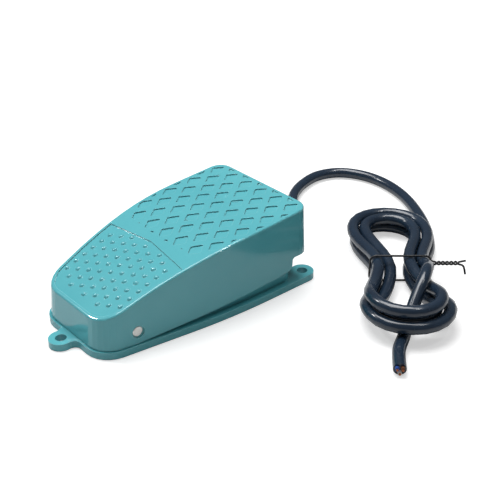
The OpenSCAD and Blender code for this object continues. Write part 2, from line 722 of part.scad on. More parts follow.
// Bracket that holds the switch, with the screws and nuts
plate_t = 1.5;
plate_gap = seat_gap;
foot_z = floor_t + pad_h + seat_gap;
plate_y0 = case_mid_y - screw_pitch/2 - tube_r;
plate_y1 = case_mid_y + screw_pitch/2 + tube_r;
plate_top = screw_z + tube_r + tube_r/2;
plate_x = case_w/2 + plate_gap;
foot_x = pad_x + pad_d/2;
head_h = 2.2;
head_r = 3.6;
small_head_h = 1.8;
small_head_r = 2.5;
slot_w = 0.9;
big_nut_h = 3.2;
screw_out = 1.2;
module switch_bracket() {
  color(zinc) difference() {
    union() {
      translate([plate_x, plate_y0, foot_z]) cube([plate_t, plate_y1 - plate_y0, plate_top - foot_z]);
      translate([plate_x, plate_y0, foot_z]) cube([foot_x - plate_x, plate_y1 - plate_y0, plate_t]);
    }
    screw_cuts(0, base_w);
    for (y = [pad_y0, pad_y1]) translate([pad_x, y, foot_z - over])
      cylinder(h = plate_t + 2*over, r = small_screw_r + seat_gap);
  }
}
module slotted_screw(l, r, r_head, h_head) {
  difference() {
    union() {
      translate([0, 0, -l]) cylinder(h = l + over, r = r);
      cylinder(h = h_head*2/3, r = r_head);
      translate([0, 0, h_head*2/3 - seat_gap]) cylinder(h = h_head/3 + seat_gap, r = r_head*4/5);
    }
    translate([-r_head - over, -slot_w/2, h_head/2]) cube([2*r_head + 2*over, slot_w, h_head]);
  }
}
module switch_screws() {
  l = case_w + 2*plate_gap + plate_t + big_nut_h + screw_out;
  color(zinc) for (s = [-1, 1])
    translate([-case_w/2 - seat_gap, case_mid_y + s*screw_pitch/2, screw_z]) rotate([0, -90, 0])
      slotted_screw(l, screw_r, head_r, head_h);
}
module switch_nuts() {
  x0 = plate_x + plate_t + seat_gap;
  color(zinc) for (s = [-1, 1])
    translate([x0, case_mid_y + s*screw_pitch/2, screw_z]) rotate([0, 90, 0]) difference() {
      cylinder(h = big_nut_h, d = nut_d, $fn = 6);
      translate([0, 0, -over]) cylinder(h = big_nut_h + 2*over, r = screw_r + seat_gap);
    }
}
module bracket_screws() {
  color(zinc) for (y = [pad_y0, pad_y1]) translate([pad_x, y, foot_z + plate_t + seat_gap])
    slotted_screw(plate_t + pad_h, small_screw_r, small_head_r, small_head_h);
}
sheet_t = 0.4;
sheet_w = 19;
sheet_gap = 4;
module insulating_sheet() {
  color(sheet_grey) translate([-case_w/2 - sheet_gap, case_y0 - sheet_gap, floor_t + seat_gap])
    cube([sheet_w, case_l + sheet_gap, sheet_t]);
}

// Push-on connectors, each with a barrel to the left that grips a core
core_r = 1.1;
sleeve_t = 0.7;
sleeve_z = tab_foot_z + sleeve_t;
sleeve_h = 4.6;
barrel_r = 1.8;
barrel_l = 4.5;
sleeve_x = tab_w/2 + seat_gap + sleeve_t;
barrel_x = -sleeve_x - barrel_l;
core_z = sleeve_z + sleeve_h/2;
module tab_connectors() {
  half_t = tab_t/2 + seat_gap + sleeve_t;
  color(zinc) for (y = [common_y, open_y, closed_y]) translate([0, y, 0]) difference() {
    union() {
      translate([-sleeve_x, -half_t, sleeve_z]) cube([2*sleeve_x, 2*half_t, sleeve_h]);
      along_x(barrel_x, -sleeve_x + sleeve_t/2, 0, core_z, barrel_r);
    }
    translate([-tab_w/2 - seat_gap, -tab_t/2 - seat_gap, sleeve_z - over])
      cube([tab_w + 2*seat_gap, tab_t + 2*seat_gap, sleeve_h + 2*over]);
    along_x(barrel_x - over, -sleeve_x, 0, core_z, core_r + seat_gap);
  }
}

// Cores inside the base, from the cut end of the cord's sheath to the connectors
core_sides = 8;
core_bend_r = 8;
inner_end_y = clamp_y - 4;
core_ring_r = 1.6;
module core(a, y) {
  from = [-gland_x + core_ring_r*cos(a), inner_end_y - seat_gap, gland_h + core_ring_r*sin(a)];
  reach = barrel_x - core_r - from.x;
  bend = [for (i = [0:arc_steps]) let (b = 90*i/arc_steps)
    [from.x + reach*(1 - cos(b)), y + core_bend_r*(1 - sin(b)), from.z + (core_z - from.z)*(1 - cos(2*b))/2]];
  swept(concat([from], bend, [[-sleeve_x - sleeve_t, y, core_z]]), core_r, core_sides, [0, 0, 1]);
}
module common_core() {
  color(core_brown) core(210, common_y);
}
module open_core() {
  color(core_blue) core(90, open_y);
}
module closed_core() {
  color(core_white) core(330, closed_y);
}

// Clamp over the cord, and the strain relief in the rear wall
clamp_t = 1.6;
clamp_w = 7;
clamp_end = 3;
module cord_clamp() {
  r = cord_d/2 + seat_gap;
  z0 = clamp_boss_top + seat_gap;
  color(zinc) difference() {
    union() {
      translate([-gland_x - clamp_x - clamp_end, clamp_y - clamp_w/2, z0])
        cube([2*clamp_x + 2*clamp_end, clamp_w, clamp_t]);
      translate([-gland_x, clamp_y - clamp_w/2, gland_h]) rotate([-90, 0, 0])
        cylinder(h = clamp_w, r = r + clamp_t);
    }
    translate([-gland_x, clamp_y - clamp_w/2 - over, gland_h]) rotate([-90, 0, 0])
      cylinder(h = clamp_w + 2*over, r = r);
    translate([-gland_x - clamp_x, clamp_y - clamp_w, 0]) cube([2*clamp_x, 2*clamp_w, z0]);
    for (s = [-1, 1]) translate([-gland_x + s*clamp_x, clamp_y, 0])
      cylinder(h = base_w, r = small_screw_r + seat_gap);
  }
}
module clamp_screws() {
  color(zinc) for (s = [-1, 1])
    translate([-gland_x + s*clamp_x, clamp_y, clamp_boss_top + clamp_t + 2*seat_gap])
      slotted_screw(clamp_t + clamp_boss_top - floor_t, small_screw_r, small_head_r, small_head_h);
}
relief_flange_r = 5.8;
relief_flange_t = 1.5;
relief_r0 = 5;
relief_r1 = 4.2;
relief_y0 = wall_back_y + seat_gap;
relief_y1 = relief_y0 + relief_l;
module strain_relief() {
  bore = cord_d/2 + seat_gap;
  neck = gland_d/2 - seat_gap;
  in_y = wall_back_y - wall_t - seat_gap;
  y0 = in_y - relief_flange_t;
  y1 = relief_y0 + relief_flange_t;
  ring = relief_r1 + relief_flange_t/4;
  color(relief_black) translate([-gland_x, 0, gland_h]) rotate([-90, 0, 0]) rotate_extrude()
    polygon([[bore, y0], [relief_flange_r, y0], [relief_flange_r, in_y], [neck, in_y], [neck, relief_y0],
      [relief_flange_r, relief_y0], [relief_flange_r, y1], [relief_r0, y1],
      [ring, relief_y1 - relief_flange_t], [ring, relief_y1], [bore, relief_y1]]);
}
module cord_inner_end() {
  color(cord_black) translate([-gland_x, inner_end_y, gland_h]) rotate([-90, 0, 0])
    cylinder(h = relief_y1 - inner_end_y, d = cord_d);
}

// Cord on the floor: a free lead, a hank of loops drawn in at its waist, and a free tail
cord_r = cord_d/2;
cord_sides = 10;
hank_sides = 6;
hank_centre = [71, 105];
hank_a = -41.3;
hank_turns = 3;
hank_rings = 24;
hank_step = 7.3;
hank_layer = 7.3;
hank_l = 64;
hank_w = 24;
hank_pinch = 9.5;
hank_square_share = -0.09;
hank_first_a = 90;
waist_lift = 1.6;
tail_lift = 7.4;
u_dir = [cos(hank_a), sin(hank_a), 0];
v_dir = [-sin(hank_a), cos(hank_a), 0];
function on_hank(p) = [hank_centre.x, hank_centre.y, 0] + p.x*u_dir + p.y*v_dir + [0, 0, p.z];
function smooth(x) = let (t = min(1, max(0, x))) t*t*(3 - 2*t);
function lobe(t) = [-hank_l*(cos(t) - hank_square_share*cos(3*t))/(1 - hank_square_share),
  hank_w*sin(t) + hank_pinch*sin(3*t)];
function lobe_inward(t) = let (d = lobe(t + 1) - lobe(t - 1)) unit([d.y, -d.x]);
function lift(along) = waist_lift*(1 - smooth(abs(along)/hank_l*2))
  + tail_lift*smooth((along/hank_l - 1/4)*2);
hank_sweep = 360*hank_turns;
function hank_point(s) =
  let (half = hank_sweep/2, t = hank_first_a + s, turned = (half - abs(s - half))/360,
       p = lobe(t) + lobe_inward(t)*hank_step*turned)
  [p.x, p.y, cord_r + hank_layer*smooth((s - half)/90 + 1/2) + lift(p.x)];
hank_path = [for (i = [0:hank_turns*hank_rings]) on_hank(hank_point(i*360/hank_rings))];

// Least gap of the hank to itself, between strands more than a few diameters apart along it
fine = 3;
fine_path = [for (i = [0:fine*hank_turns*hank_rings]) hank_point(i*360/hank_rings/fine)];
apart = 10;
hank_gap = min([for (i = [0:len(fine_path) - 1 - apart], j = [i + apart:len(fine_path) - 1])
  norm(fine_path[i] - fine_path[j])]) - cord_d;
echo(hank_gap = hank_gap);

// A smooth route through points chosen by hand, in a few steps each
function spline_point(p, i, t) =
  let (n = len(p) - 1, a = p[max(i - 1, 0)], b = p[i], c = p[i + 1], d = p[min(i + 2, n)])
  ((2*b) + (c - a)*t + (2*a - 5*b + 4*c - d)*t*t + (3*b - a - 3*c + d)*t*t*t)/2;
function spline(p, n) =
  concat([for (i = [0:len(p) - 2], k = [0:n - 1]) spline_point(p, i, k/n)], [p[len(p) - 1]]);
lead_points = [[-18, 88, 10.2], [-18, 96, 9.6], [-20, 105, 6.6], [-25, 114, 4.2], [-32, 122, 3.4],
  [-41, 132, 3.4], [-48, 146, 3.4], [-51, 163, 3.4], [-45, 178, 3.4], [-31, 187, 3.4], [-13, 189, 3.4],
  [8, 184, 3.4], [29, 173, 3.4], [47, 160, 3.4]];
lead_join_a = [-40, -26, -13];
hank_start = hank_path[0];
hank_heading = unit(hank_path[1] - hank_path[0]);
lead_start = [-gland_x, relief_y1, gland_h];
module cord_lead() {
  join = [for (a = lead_join_a) on_hank(hank_point(a))];
  p = spline(concat([lead_start], lead_points, join, [hank_start]), 2);
  n = len(p);
  path = concat([p[0], p[0] + [0, cord_r, 0]], [for (i = [2:n - 2]) p[i]],
    [hank_start - cord_r*hank_heading, hank_start]);
  color(cord_black) swept(path, cord_r, cord_sides, [0, 0, 1]);
}
module cord_hank() {
  color(cord_black) swept(hank_path, cord_r, hank_sides, [0, 0, 1]);
}
tail_route = [[8.5, 15.5, 15], [19, 13, 19.3], [28, 10, 18.7], [36.5, 5.5, 13.2], [48, 0, 5], [59, -3.5, 3.7],
  [71, -7.5, 3.4], [86, -9, 3.4]];
hank_end = hank_path[len(hank_path) - 1];
end_heading = unit(hank_end - hank_path[len(hank_path) - 2]);
tail_end = on_hank(tail_route[len(tail_route) - 1]);
tail_heading = unit(tail_end - on_hank(tail_route[len(tail_route) - 2]));
module cord_tail() {
  p = spline(concat([hank_end], [for (q = tail_route) on_hank(q)]), 2);
  path = concat([hank_end, hank_end + cord_r*end_heading], [for (i = [1:len(p) - 2]) p[i]],
    [tail_end - cord_r*tail_heading, tail_end]);
  color(cord_black) swept(path, cord_r, cord_sides, [0, 0, 1]);
}
end_core_l = 2.5;
module cord_end_cores() {
  side = [-tail_heading.y, tail_heading.x, 0];
  color(core_white) for (a = [90, 210, 330]) {
    c = tail_end + core_ring_r*(side*cos(a) + [0, 0, sin(a)]);
    swept([c, c + tail_heading*end_core_l/2, c + tail_heading*end_core_l], core_r, core_sides, [0, 0, 1]);
  }
}

// Wire tie round the waist of the hank: one wire, its two ends twisted together
tie_r = 0.6;
tie_sides = 6;
tie_slack = 0.25;
tie_in = hank_w - hank_pinch;
tie_right = tie_in + cord_r + tie_r + tie_slack;
tie_left = tie_in - hank_step/2 + cord_r + tie_r + tie_slack;
tie_low = waist_lift - tie_r - tie_slack;
tie_high = waist_lift + 2*cord_r + hank_layer + tie_r + tie_slack;
tie_twist_z = 12;
twist_r = 0.75;
twist_l = 14;
twist_rings = 18;
twist_turns = 3;
tie_corner_r = 3.5;
first_tip = [2, 3, 2];
second_tips = [[-1, 3, -2], [1, 4, -6]];
module twist_tie() {
  loop = rounded([[tie_right, tie_high], [-tie_left, tie_high], [-tie_left, tie_low], [tie_right, tie_low]],
    [for (i = [0:3]) tie_corner_r], 4);
  first = [for (i = [0:twist_rings]) let (t = i/twist_rings, a = 90 + 360*twist_turns*t)
    [twist_r*cos(a), tie_right + tie_corner_r/2 + twist_l*t, tie_twist_z + twist_r*sin(a)]];
  second = [for (i = [0:twist_rings]) let (t = i/twist_rings, a = 270 + 360*twist_turns*t)
    [twist_r*cos(a), tie_right + tie_corner_r/2 + twist_l*t, tie_twist_z + twist_r*sin(a)]];
  path = concat([first[twist_rings] + first_tip], [for (i = [twist_rings:-1:0]) first[i]],
    [[0, tie_right, tie_twist_z + tie_corner_r/2]], [for (p = loop) [0, p.x, p.y]],
    [[0, tie_right, tie_twist_z - tie_corner_r/2]], second,
    [for (t = second_tips) second[twist_rings] + t]);
  color(tie_black) swept([for (p = path) on_hank(p)], tie_r, tie_sides, u_dir);
}

pedal_cover();
base_tray();
hinge_pin();
pin_clips();
return_spring();
striker_screw();
striker_nut();
switch_case();
switch_lid();
switch_lever();
lever_pin();
switch_plunger();
contact_blade();
common_terminal();
closed_terminal();
open_terminal();
switch_bracket();
switch_screws();
switch_nuts();
bracket_screws();
insulating_sheet();
tab_connectors();
common_core();
closed_core();
open_core();
cord_clamp();
clamp_screws();
strain_relief();
cord_inner_end();
cord_lead();
cord_hank();
cord_tail();
cord_end_cores();
twist_tie();
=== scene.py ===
"""Looks of the cast pedal foot switch: enamel, metal, mouldings, cord and a plain studio."""

import json
import logging
import math
from dataclasses import dataclass, field
from enum import Enum

import bpy
from mathutils import Matrix, Vector

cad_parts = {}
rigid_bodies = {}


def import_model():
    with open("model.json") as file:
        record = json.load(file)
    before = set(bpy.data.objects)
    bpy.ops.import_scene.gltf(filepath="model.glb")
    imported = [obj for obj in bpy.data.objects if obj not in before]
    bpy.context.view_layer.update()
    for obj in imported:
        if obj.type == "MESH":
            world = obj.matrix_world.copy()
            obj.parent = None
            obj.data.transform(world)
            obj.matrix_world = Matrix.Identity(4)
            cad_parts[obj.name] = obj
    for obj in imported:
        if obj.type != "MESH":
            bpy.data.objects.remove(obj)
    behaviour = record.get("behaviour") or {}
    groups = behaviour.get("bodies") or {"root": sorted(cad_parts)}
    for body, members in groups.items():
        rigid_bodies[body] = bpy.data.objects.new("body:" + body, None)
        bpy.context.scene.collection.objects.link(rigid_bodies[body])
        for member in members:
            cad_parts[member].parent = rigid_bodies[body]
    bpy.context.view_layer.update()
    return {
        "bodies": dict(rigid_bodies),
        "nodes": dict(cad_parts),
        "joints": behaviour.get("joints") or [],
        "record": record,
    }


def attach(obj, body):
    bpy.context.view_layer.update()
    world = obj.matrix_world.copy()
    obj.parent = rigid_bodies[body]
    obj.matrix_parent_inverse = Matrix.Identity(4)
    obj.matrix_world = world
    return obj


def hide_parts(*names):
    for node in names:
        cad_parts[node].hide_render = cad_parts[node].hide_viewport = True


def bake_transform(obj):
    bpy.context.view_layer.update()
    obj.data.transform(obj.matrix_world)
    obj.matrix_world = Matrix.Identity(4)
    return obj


Colour = tuple[float, float, float, float]
Point = tuple[float, float, float]

LOG = logging.getLogger("foot_switch")
WHITE: Colour = (1.0, 1.0, 1.0, 1.0)

# The pieces are drawn in millimetres, and MM makes them metres
MM = 0.001
CORD_RADIUS = 3.4

# Metres and degrees
MERGE_DISTANCE = 1e-6
SMOOTH_ANGLE = 40.0

# The span that most of a noise's values fill
NOISE_LOW, NOISE_HIGH = 0.3, 0.7


# Shader helpers


class Tree:
    """A node tree with short calls for the nodes that the finishes share."""

    def __init__(self, tree: bpy.types.NodeTree) -> None:
        """Wraps a material's or a group's node tree.

        Args:
            tree: the node tree to build in.
        """
        self.tree = tree

    def node(self, kind: str, **values: object) -> bpy.types.Node:
        """Adds a node and sets its plain properties and its inputs.

        Args:
            kind: the node's type name, without the leading ShaderNode.
            values: properties by name, or input values and sockets by input name, underscores for spaces.

        Returns:
            The new node.
        """
        made = self.tree.nodes.new("ShaderNode" + kind)
        self.feed(made, **values)
        return made

    def feed(self, node: bpy.types.Node, **values: object) -> None:
        """Sets a node's plain properties and its inputs.

        Args:
            node: the node to set.
            values: properties by name, or input values and sockets by input name, underscores for spaces.
        """
        for key, value in values.items():
            socket = node.inputs.get(key.replace("_", " "))
            if socket is None:
                setattr(node, key, value)
            else:
                self._give(socket, value)

    def _give(self, socket: bpy.types.NodeSocket, value: object) -> None:
        """Links an input to another node's output, or sets its value.

        Args:
            socket: the input.
            value: an output socket, a number or a colour.
        """
        if isinstance(value, bpy.types.NodeSocket):
            self.tree.links.new(value, socket)
        else:
            socket.default_value = value

    def link(self, source: bpy.types.NodeSocket, target: bpy.types.NodeSocket) -> None:
        """Links two sockets."""
        self.tree.links.new(source, target)

    def math(self, operation: str, *terms: object) -> bpy.types.NodeSocket:
        """Adds a Math node.

        Args:
            operation: Blender's name for the operation.
            terms: numbers or sockets, in order.

        Returns:
            The node's output socket.
        """
        made = self.node("Math", operation=operation)
        for socket, term in zip(made.inputs, terms):
            self._give(socket, term)
        return made.outputs[0]

    def span(self, source: bpy.types.NodeSocket, low: float, high: float,
             to_low: float = 0.0, to_high: float = 1.0) -> bpy.types.NodeSocket:
        """Maps a value from one span onto another, held at its ends.

        Args:
            source: the value to map.
            low: the value that becomes to_low.
            high: the value that becomes to_high.
            to_low: the first end of the result.
            to_high: the second end of the result.

        Returns:
            The mapped value's socket.
        """
        made = self.node("MapRange", clamp=True, Value=source,
                         From_Min=low, From_Max=high, To_Min=to_low, To_Max=to_high)
        return made.outputs["Result"]

    def blend(self, share: object, first: object, second: object) -> bpy.types.NodeSocket:
        """Mixes two colours.

        Args:
            share: how much of the second colour, a number or a socket.
            first: a colour or a socket.
            second: a colour or a socket.

        Returns:
            The mixed colour's socket.
        """
        made = self.node("Mix", data_type="RGBA")
        factor, colours = made.inputs[0], made.inputs[6:8]
        for socket, value in zip((factor, *colours), (share, first, second)):
            self._give(socket, value)
        return made.outputs[2]

    def dusted(self, specks: bpy.types.Node, share: float, body: object,
               dust: Colour) -> bpy.types.NodeSocket:
        """Lays specks of another colour on a body colour.

        Args:
            specks: a placed group of specks.
            share: how strongly a speck shows.
            body: the body colour's socket.
            dust: the specks' colour.

        Returns:
            The colour's socket.
        """
        return self.blend(self.math("MULTIPLY", specks.outputs["Speck"], share), body, dust)


def open_group(name: str, inputs: dict[str, float],
               outputs: dict[str, str]) -> tuple[Tree, bpy.types.Node, bpy.types.Node]:
    """Starts a shader node group with named inputs and outputs.

    Args:
        name: the group's name.
        inputs: default values by input name.
        outputs: socket kinds, Float, Color or Vector, by output name.

    Returns:
        The group's tree, its input node and its output node.
    """
    group = bpy.data.node_groups.new(name, "ShaderNodeTree")
    for key, value in inputs.items():
        socket = group.interface.new_socket(name=key, in_out="INPUT", socket_type="NodeSocketFloat")
        socket.default_value = value
    for key, kind in outputs.items():
        group.interface.new_socket(name=key, in_out="OUTPUT", socket_type="NodeSocket" + kind)
    tree = Tree(group)
    return tree, group.nodes.new("NodeGroupInput"), group.nodes.new("NodeGroupOutput")


class SharedEffects:
    """The node groups that several finishes place with their own values.

    Each span says where a mask starts and where it is full: in the values of the cloud noise, in how far
    the rounded normal agrees with the face's own, and in the distance from the middle of a speck.
    """

    cloud_span = (0.32, 0.68)
    edge_span = (0.985, 0.8)
    speck_span = (0.22, 0.08)
    bevel_samples = 6

    def __init__(self) -> None:
        """Builds every group once."""
        self.mottle = self._mottle()
        self.edges = self._edges()
        self.streaks = self._streaks()
        self.specks = self._specks()

    def _mottle(self) -> bpy.types.NodeTree:
        """Slow cloudy change over a surface, with finer change on top.

        Returns:
            The group.
        """
        tree, given, out = open_group("mottle", {"Scale": 60.0, "Fine": 900.0},
                                      {"Cloud": "Float", "Grain": "Float"})
        place = tree.node("TexCoord").outputs["Object"]
        cloud = tree.node("TexNoise", Detail=3.0, Roughness=0.55)
        grain = tree.node("TexNoise", Detail=4.0, Roughness=0.6)
        for noise, name in ((cloud, "Scale"), (grain, "Fine")):
            tree.feed(noise, Vector=place, Scale=given.outputs[name])
        tree.feed(out, Cloud=tree.span(cloud.outputs["Fac"], *self.cloud_span), Grain=grain.outputs["Fac"])
        return tree.tree

    def _edges(self) -> bpy.types.NodeTree:
        """A rounded normal over sharp edges, and how near a point is to an edge.

        Returns:
            The group.
        """
        tree, given, out = open_group("soft_edges", {"Radius": 0.0004}, {"Normal": "Vector", "Edge": "Float"})
        bevel = tree.node("Bevel", samples=self.bevel_samples, Radius=given.outputs["Radius"])
        rounded = bevel.outputs["Normal"]
        dot = tree.node("VectorMath", operation="DOT_PRODUCT")
        tree.link(rounded, dot.inputs[0])
        tree.link(tree.node("NewGeometry").outputs["True Normal"], dot.inputs[1])
        tree.feed(out, Normal=rounded, Edge=tree.span(dot.outputs["Value"], *self.edge_span))
        return tree.tree

    @staticmethod
    def _streaks() -> bpy.types.NodeTree:
        """Fine lines along one direction, as drawn or rolled metal shows.

        Returns:
            The group.
        """
        tree, given, out = open_group("drawn_lines", {"Scale": 400.0, "Stretch": 0.04}, {"Lines": "Float"})
        place = tree.node("TexCoord").outputs["Object"]
        stretch = tree.node("CombineXYZ", X=given.outputs["Stretch"], Y=1.0, Z=1.0)
        scaled = tree.node("VectorMath", operation="MULTIPLY")
        tree.link(place, scaled.inputs[0])
        tree.link(stretch.outputs[0], scaled.inputs[1])
        noise = tree.node("TexNoise", Detail=5.0, Roughness=0.65,
                          Vector=scaled.outputs[0], Scale=given.outputs["Scale"])
        tree.link(noise.outputs["Fac"], out.inputs["Lines"])
        return tree.tree

    def _specks(self) -> bpy.types.NodeTree:
        """Sparse small specks, as dust under a coat.

        Returns:
            The group.
        """
        tree, given, out = open_group("specks", {"Scale": 500.0, "Amount": 0.1}, {"Speck": "Float"})
        place = tree.node("TexCoord").outputs["Object"]
        cells = tree.node("TexVoronoi", feature="F1", Vector=place, Scale=given.outputs["Scale"])
        near = tree.span(cells.outputs["Distance"], *self.speck_span)
        pick = tree.node("SeparateColor", Color=cells.outputs["Color"])
        some = tree.math("LESS_THAN", pick.outputs[0], given.outputs["Amount"])
        tree.link(tree.math("MULTIPLY", near, some), out.inputs["Speck"])
        return tree.tree


# Finishes


def rgba(red: float, green: float, blue: float) -> Colour:
    """A linear colour from screen values of 0 to 255.

    Args:
        red: red as shown on a screen.
        green: green as shown on a screen.
        blue: blue as shown on a screen.

    Returns:
        Linear red, green, blue and an alpha of 1.
    """
    parts = []
    for value in (red, green, blue):
        share = value / 255
        parts.append(share / 12.92 if share <= 0.04045 else ((share + 0.055) / 1.055) ** 2.4)
    return parts[0], parts[1], parts[2], 1.0


@dataclass(frozen=True)
class EnamelFinish:
    """Stove enamel over a casting: glossy, a little uneven, with a lighter colour painted along its edges as
    a highlight.
    """

    colour: Colour = rgba(96, 182, 191)
    deep: Colour = rgba(89, 176, 186)
    # The edge colour is a painted highlight, laid along every edge of the casting
    edge: Colour = rgba(156, 222, 226)
    dust: Colour = rgba(60, 120, 126)
    cloud_scale: float = 24.0
    grain_scale: float = 520.0
    speck_scale: float = 420.0
    speck_amount: float = 0.012
    speck_share: float = 0.25
    speck_rise: float = 0.25
    edge_radius: float = 0.5 * MM
    # How strongly the painted edge highlight shows
    edge_highlight_share: float = 0.8
    roughness: float = 0.16
    smoother: float = 0.05
    rougher: float = 0.07
    specular: float = 0.25
    coat: float = 0.7
    coat_roughness: float = 0.06
    peel_scale: float = 260.0
    peel: float = 0.05
    peel_depth: float = 0.12 * MM

    def make(self, name: str, shared: SharedEffects) -> bpy.types.Material:
        """Builds the enamel's material.

        Args:
            name: the material's name.
            shared: the shared node groups.

        Returns:
            The material.
        """
        material, tree, shader = new_material(name)
        mottle = tree.node("Group", node_tree=shared.mottle, Scale=self.cloud_scale, Fine=self.grain_scale)
        edges = tree.node("Group", node_tree=shared.edges, Radius=self.edge_radius)
        specks = tree.node("Group", node_tree=shared.specks, Scale=self.speck_scale, Amount=self.speck_amount)
        body = tree.blend(mottle.outputs["Cloud"], self.deep, self.colour)
        # Painted highlight: the lighter edge colour laid over the body colour near every edge
        highlighted = tree.blend(tree.math("MULTIPLY", edges.outputs["Edge"], self.edge_highlight_share), body, self.edge)
        peel = tree.node("TexNoise", Scale=self.peel_scale, Detail=2.0, Roughness=0.5,
                         Vector=tree.node("TexCoord").outputs["Object"])
        raised = tree.math("MULTIPLY", specks.outputs["Speck"], self.speck_rise)
        bump = tree.node("Bump", Strength=self.peel, Distance=self.peel_depth,
                         Height=tree.math("ADD", peel.outputs["Fac"], raised), Normal=edges.outputs["Normal"])
        tree.feed(shader, Base_Color=tree.dusted(specks, self.speck_share, highlighted, self.dust),
                  Roughness=tree.span(mottle.outputs["Grain"], NOISE_LOW, NOISE_HIGH,
                                      self.roughness - self.smoother, self.roughness + self.rougher),
                  Specular_IOR_Level=self.specular, Coat_Weight=self.coat,
                  Coat_Roughness=self.coat_roughness, Normal=bump.outputs[0])
        return material


@dataclass(frozen=True)
class MetalFinish:
    """Bare or plated metal with drawn lines and slight staining."""

    colour: Colour
    stain: Colour
    roughness: float = 0.25
    lines: float = 1600.0
    stretch: float = 0.05
    cloud_scale: float = 180.0
    grain_scale: float = 1500.0
    edge_radius: float = 0.2 * MM
    stain_share: float = 0.6
    smooth_share: float = 0.7
    rough_share: float = 1.5
    relief: float = 0.12
    relief_depth: float = 0.04 * MM

    def make(self, name: str, shared: SharedEffects) -> bpy.types.Material:
        """Builds the metal's material.

        Args:
            name: the material's name.
            shared: the shared node groups.

        Returns:
            The material.
        """
        material, tree, shader = new_material(name)
        mottle = tree.node("Group", node_tree=shared.mottle, Scale=self.cloud_scale, Fine=self.grain_scale)
        drawn = tree.node("Group", node_tree=shared.streaks, Scale=self.lines, Stretch=self.stretch)
        edges = tree.node("Group", node_tree=shared.edges, Radius=self.edge_radius)
        share = tree.math("MULTIPLY", mottle.outputs["Cloud"], self.stain_share)
        bump = tree.node("Bump", Strength=self.relief, Distance=self.relief_depth,
                         Height=drawn.outputs["Lines"], Normal=edges.outputs["Normal"])
        tree.feed(shader, Metallic=1.0, Base_Color=tree.blend(share, self.colour, self.stain),
                  Roughness=tree.span(drawn.outputs["Lines"], NOISE_LOW, NOISE_HIGH,
                                      self.roughness * self.smooth_share, self.roughness * self.rough_share),
                  Normal=bump.outputs[0])
        return material


@dataclass(frozen=True)
class MouldingFinish:
    """Moulded plastic or rubber with a fine texture and a little dust."""

    colour: Colour
    second: Colour
    roughness: float = 0.45
    texture: float = 900.0
    relief: float = 0.12
    coat: float = 0.0
    dust: Colour = rgba(150, 150, 148)
    cloud_scale: float = 70.0
    speck_scale: float = 700.0
    speck_amount: float = 0.05
    speck_share: float = 0.2
    edge_radius: float = 0.25 * MM
    smoother: float = 0.06
    rougher: float = 0.08
    relief_depth: float = 0.05 * MM

    def make(self, name: str, shared: SharedEffects) -> bpy.types.Material:
        """Builds the moulding's material.

        Args:
            name: the material's name.
            shared: the shared node groups.

        Returns:
            The material.
        """
        material, tree, shader = new_material(name)
        mottle = tree.node("Group", node_tree=shared.mottle, Scale=self.cloud_scale, Fine=self.texture)
        edges = tree.node("Group", node_tree=shared.edges, Radius=self.edge_radius)
        specks = tree.node("Group", node_tree=shared.specks, Scale=self.speck_scale, Amount=self.speck_amount)
        body = tree.blend(mottle.outputs["Cloud"], self.colour, self.second)
        bump = tree.node("Bump", Strength=self.relief, Distance=self.relief_depth,
                         Height=mottle.outputs["Grain"], Normal=edges.outputs["Normal"])
        tree.feed(shader, Base_Color=tree.dusted(specks, self.speck_share, body, self.dust),
                  Roughness=tree.span(mottle.outputs["Grain"], NOISE_LOW, NOISE_HIGH,
                                      self.roughness - self.smoother, self.roughness + self.rougher),
                  Coat_Weight=self.coat, Normal=bump.outputs[0])
        return material


@dataclass(frozen=True)
class SheathFinish:
    """Smooth extruded cord sheath with faint lengthwise die lines."""

    colour: Colour = rgba(33, 50, 68)
    second: Colour = rgba(27, 42, 59)
    dust: Colour = rgba(80, 92, 108)
    cloud_scale: float = 55.0
    grain_scale: float = 700.0
    speck_scale: float = 520.0
    speck_amount: float = 0.04
    speck_share: float = 0.06
    roughness: float = 0.22
    smoother: float = 0.04
    rougher: float = 0.06
    coat: float = 0.4
    coat_roughness: float = 0.12
    die_lines: Point = (3.0, 40.0, 1.0)
    line_share: float = 0.5
    grain_share: float = 0.3
    relief: float = 0.03
    relief_depth: float = 0.05 * MM

    def make(self, name: str, shared: SharedEffects) -> bpy.types.Material:
        """Builds the sheath's material, whose lines follow the curve's own UV map.

        Args:
            name: the material's name.
            shared: the shared node groups.

        Returns:
            The material.
        """
        material, tree, shader = new_material(name)
        mottle = tree.node("Group", node_tree=shared.mottle, Scale=self.cloud_scale, Fine=self.grain_scale)
        specks = tree.node("Group", node_tree=shared.specks, Scale=self.speck_scale, Amount=self.speck_amount)
        body = tree.blend(mottle.outputs["Cloud"], self.colour, self.second)
        stretch = tree.node("VectorMath", operation="MULTIPLY")
        tree.link(tree.node("TexCoord").outputs["UV"], stretch.inputs[0])
        stretch.inputs[1].default_value = self.die_lines
        lines = tree.node("TexNoise", Scale=1.0, Detail=2.0, Vector=stretch.outputs[0])
        height = tree.math("ADD", tree.math("MULTIPLY", lines.outputs["Fac"], self.line_share),
                           tree.math("MULTIPLY", mottle.outputs["Grain"], self.grain_share))
        bump = tree.node("Bump", Strength=self.relief, Distance=self.relief_depth, Height=height)
        tree.feed(shader, Base_Color=tree.dusted(specks, self.speck_share, body, self.dust),
                  Roughness=tree.span(mottle.outputs["Grain"], NOISE_LOW, NOISE_HIGH,
                                      self.roughness - self.smoother, self.roughness + self.rougher),
                  Coat_Weight=self.coat, Coat_Roughness=self.coat_roughness, Normal=bump.outputs[0])
        return material


def new_material(name: str) -> tuple[bpy.types.Material, Tree, bpy.types.Node]:
    """Makes a material with a Principled shader.

    Args:
        name: the material's name.

    Returns:
        The material, its tree and its shader node.
    """
    material = bpy.data.materials.new(name)
    material.use_nodes = True
    tree = Tree(material.node_tree)
    shader = next(n for n in material.node_tree.nodes if n.type == "BSDF_PRINCIPLED")
    return material, tree, shader


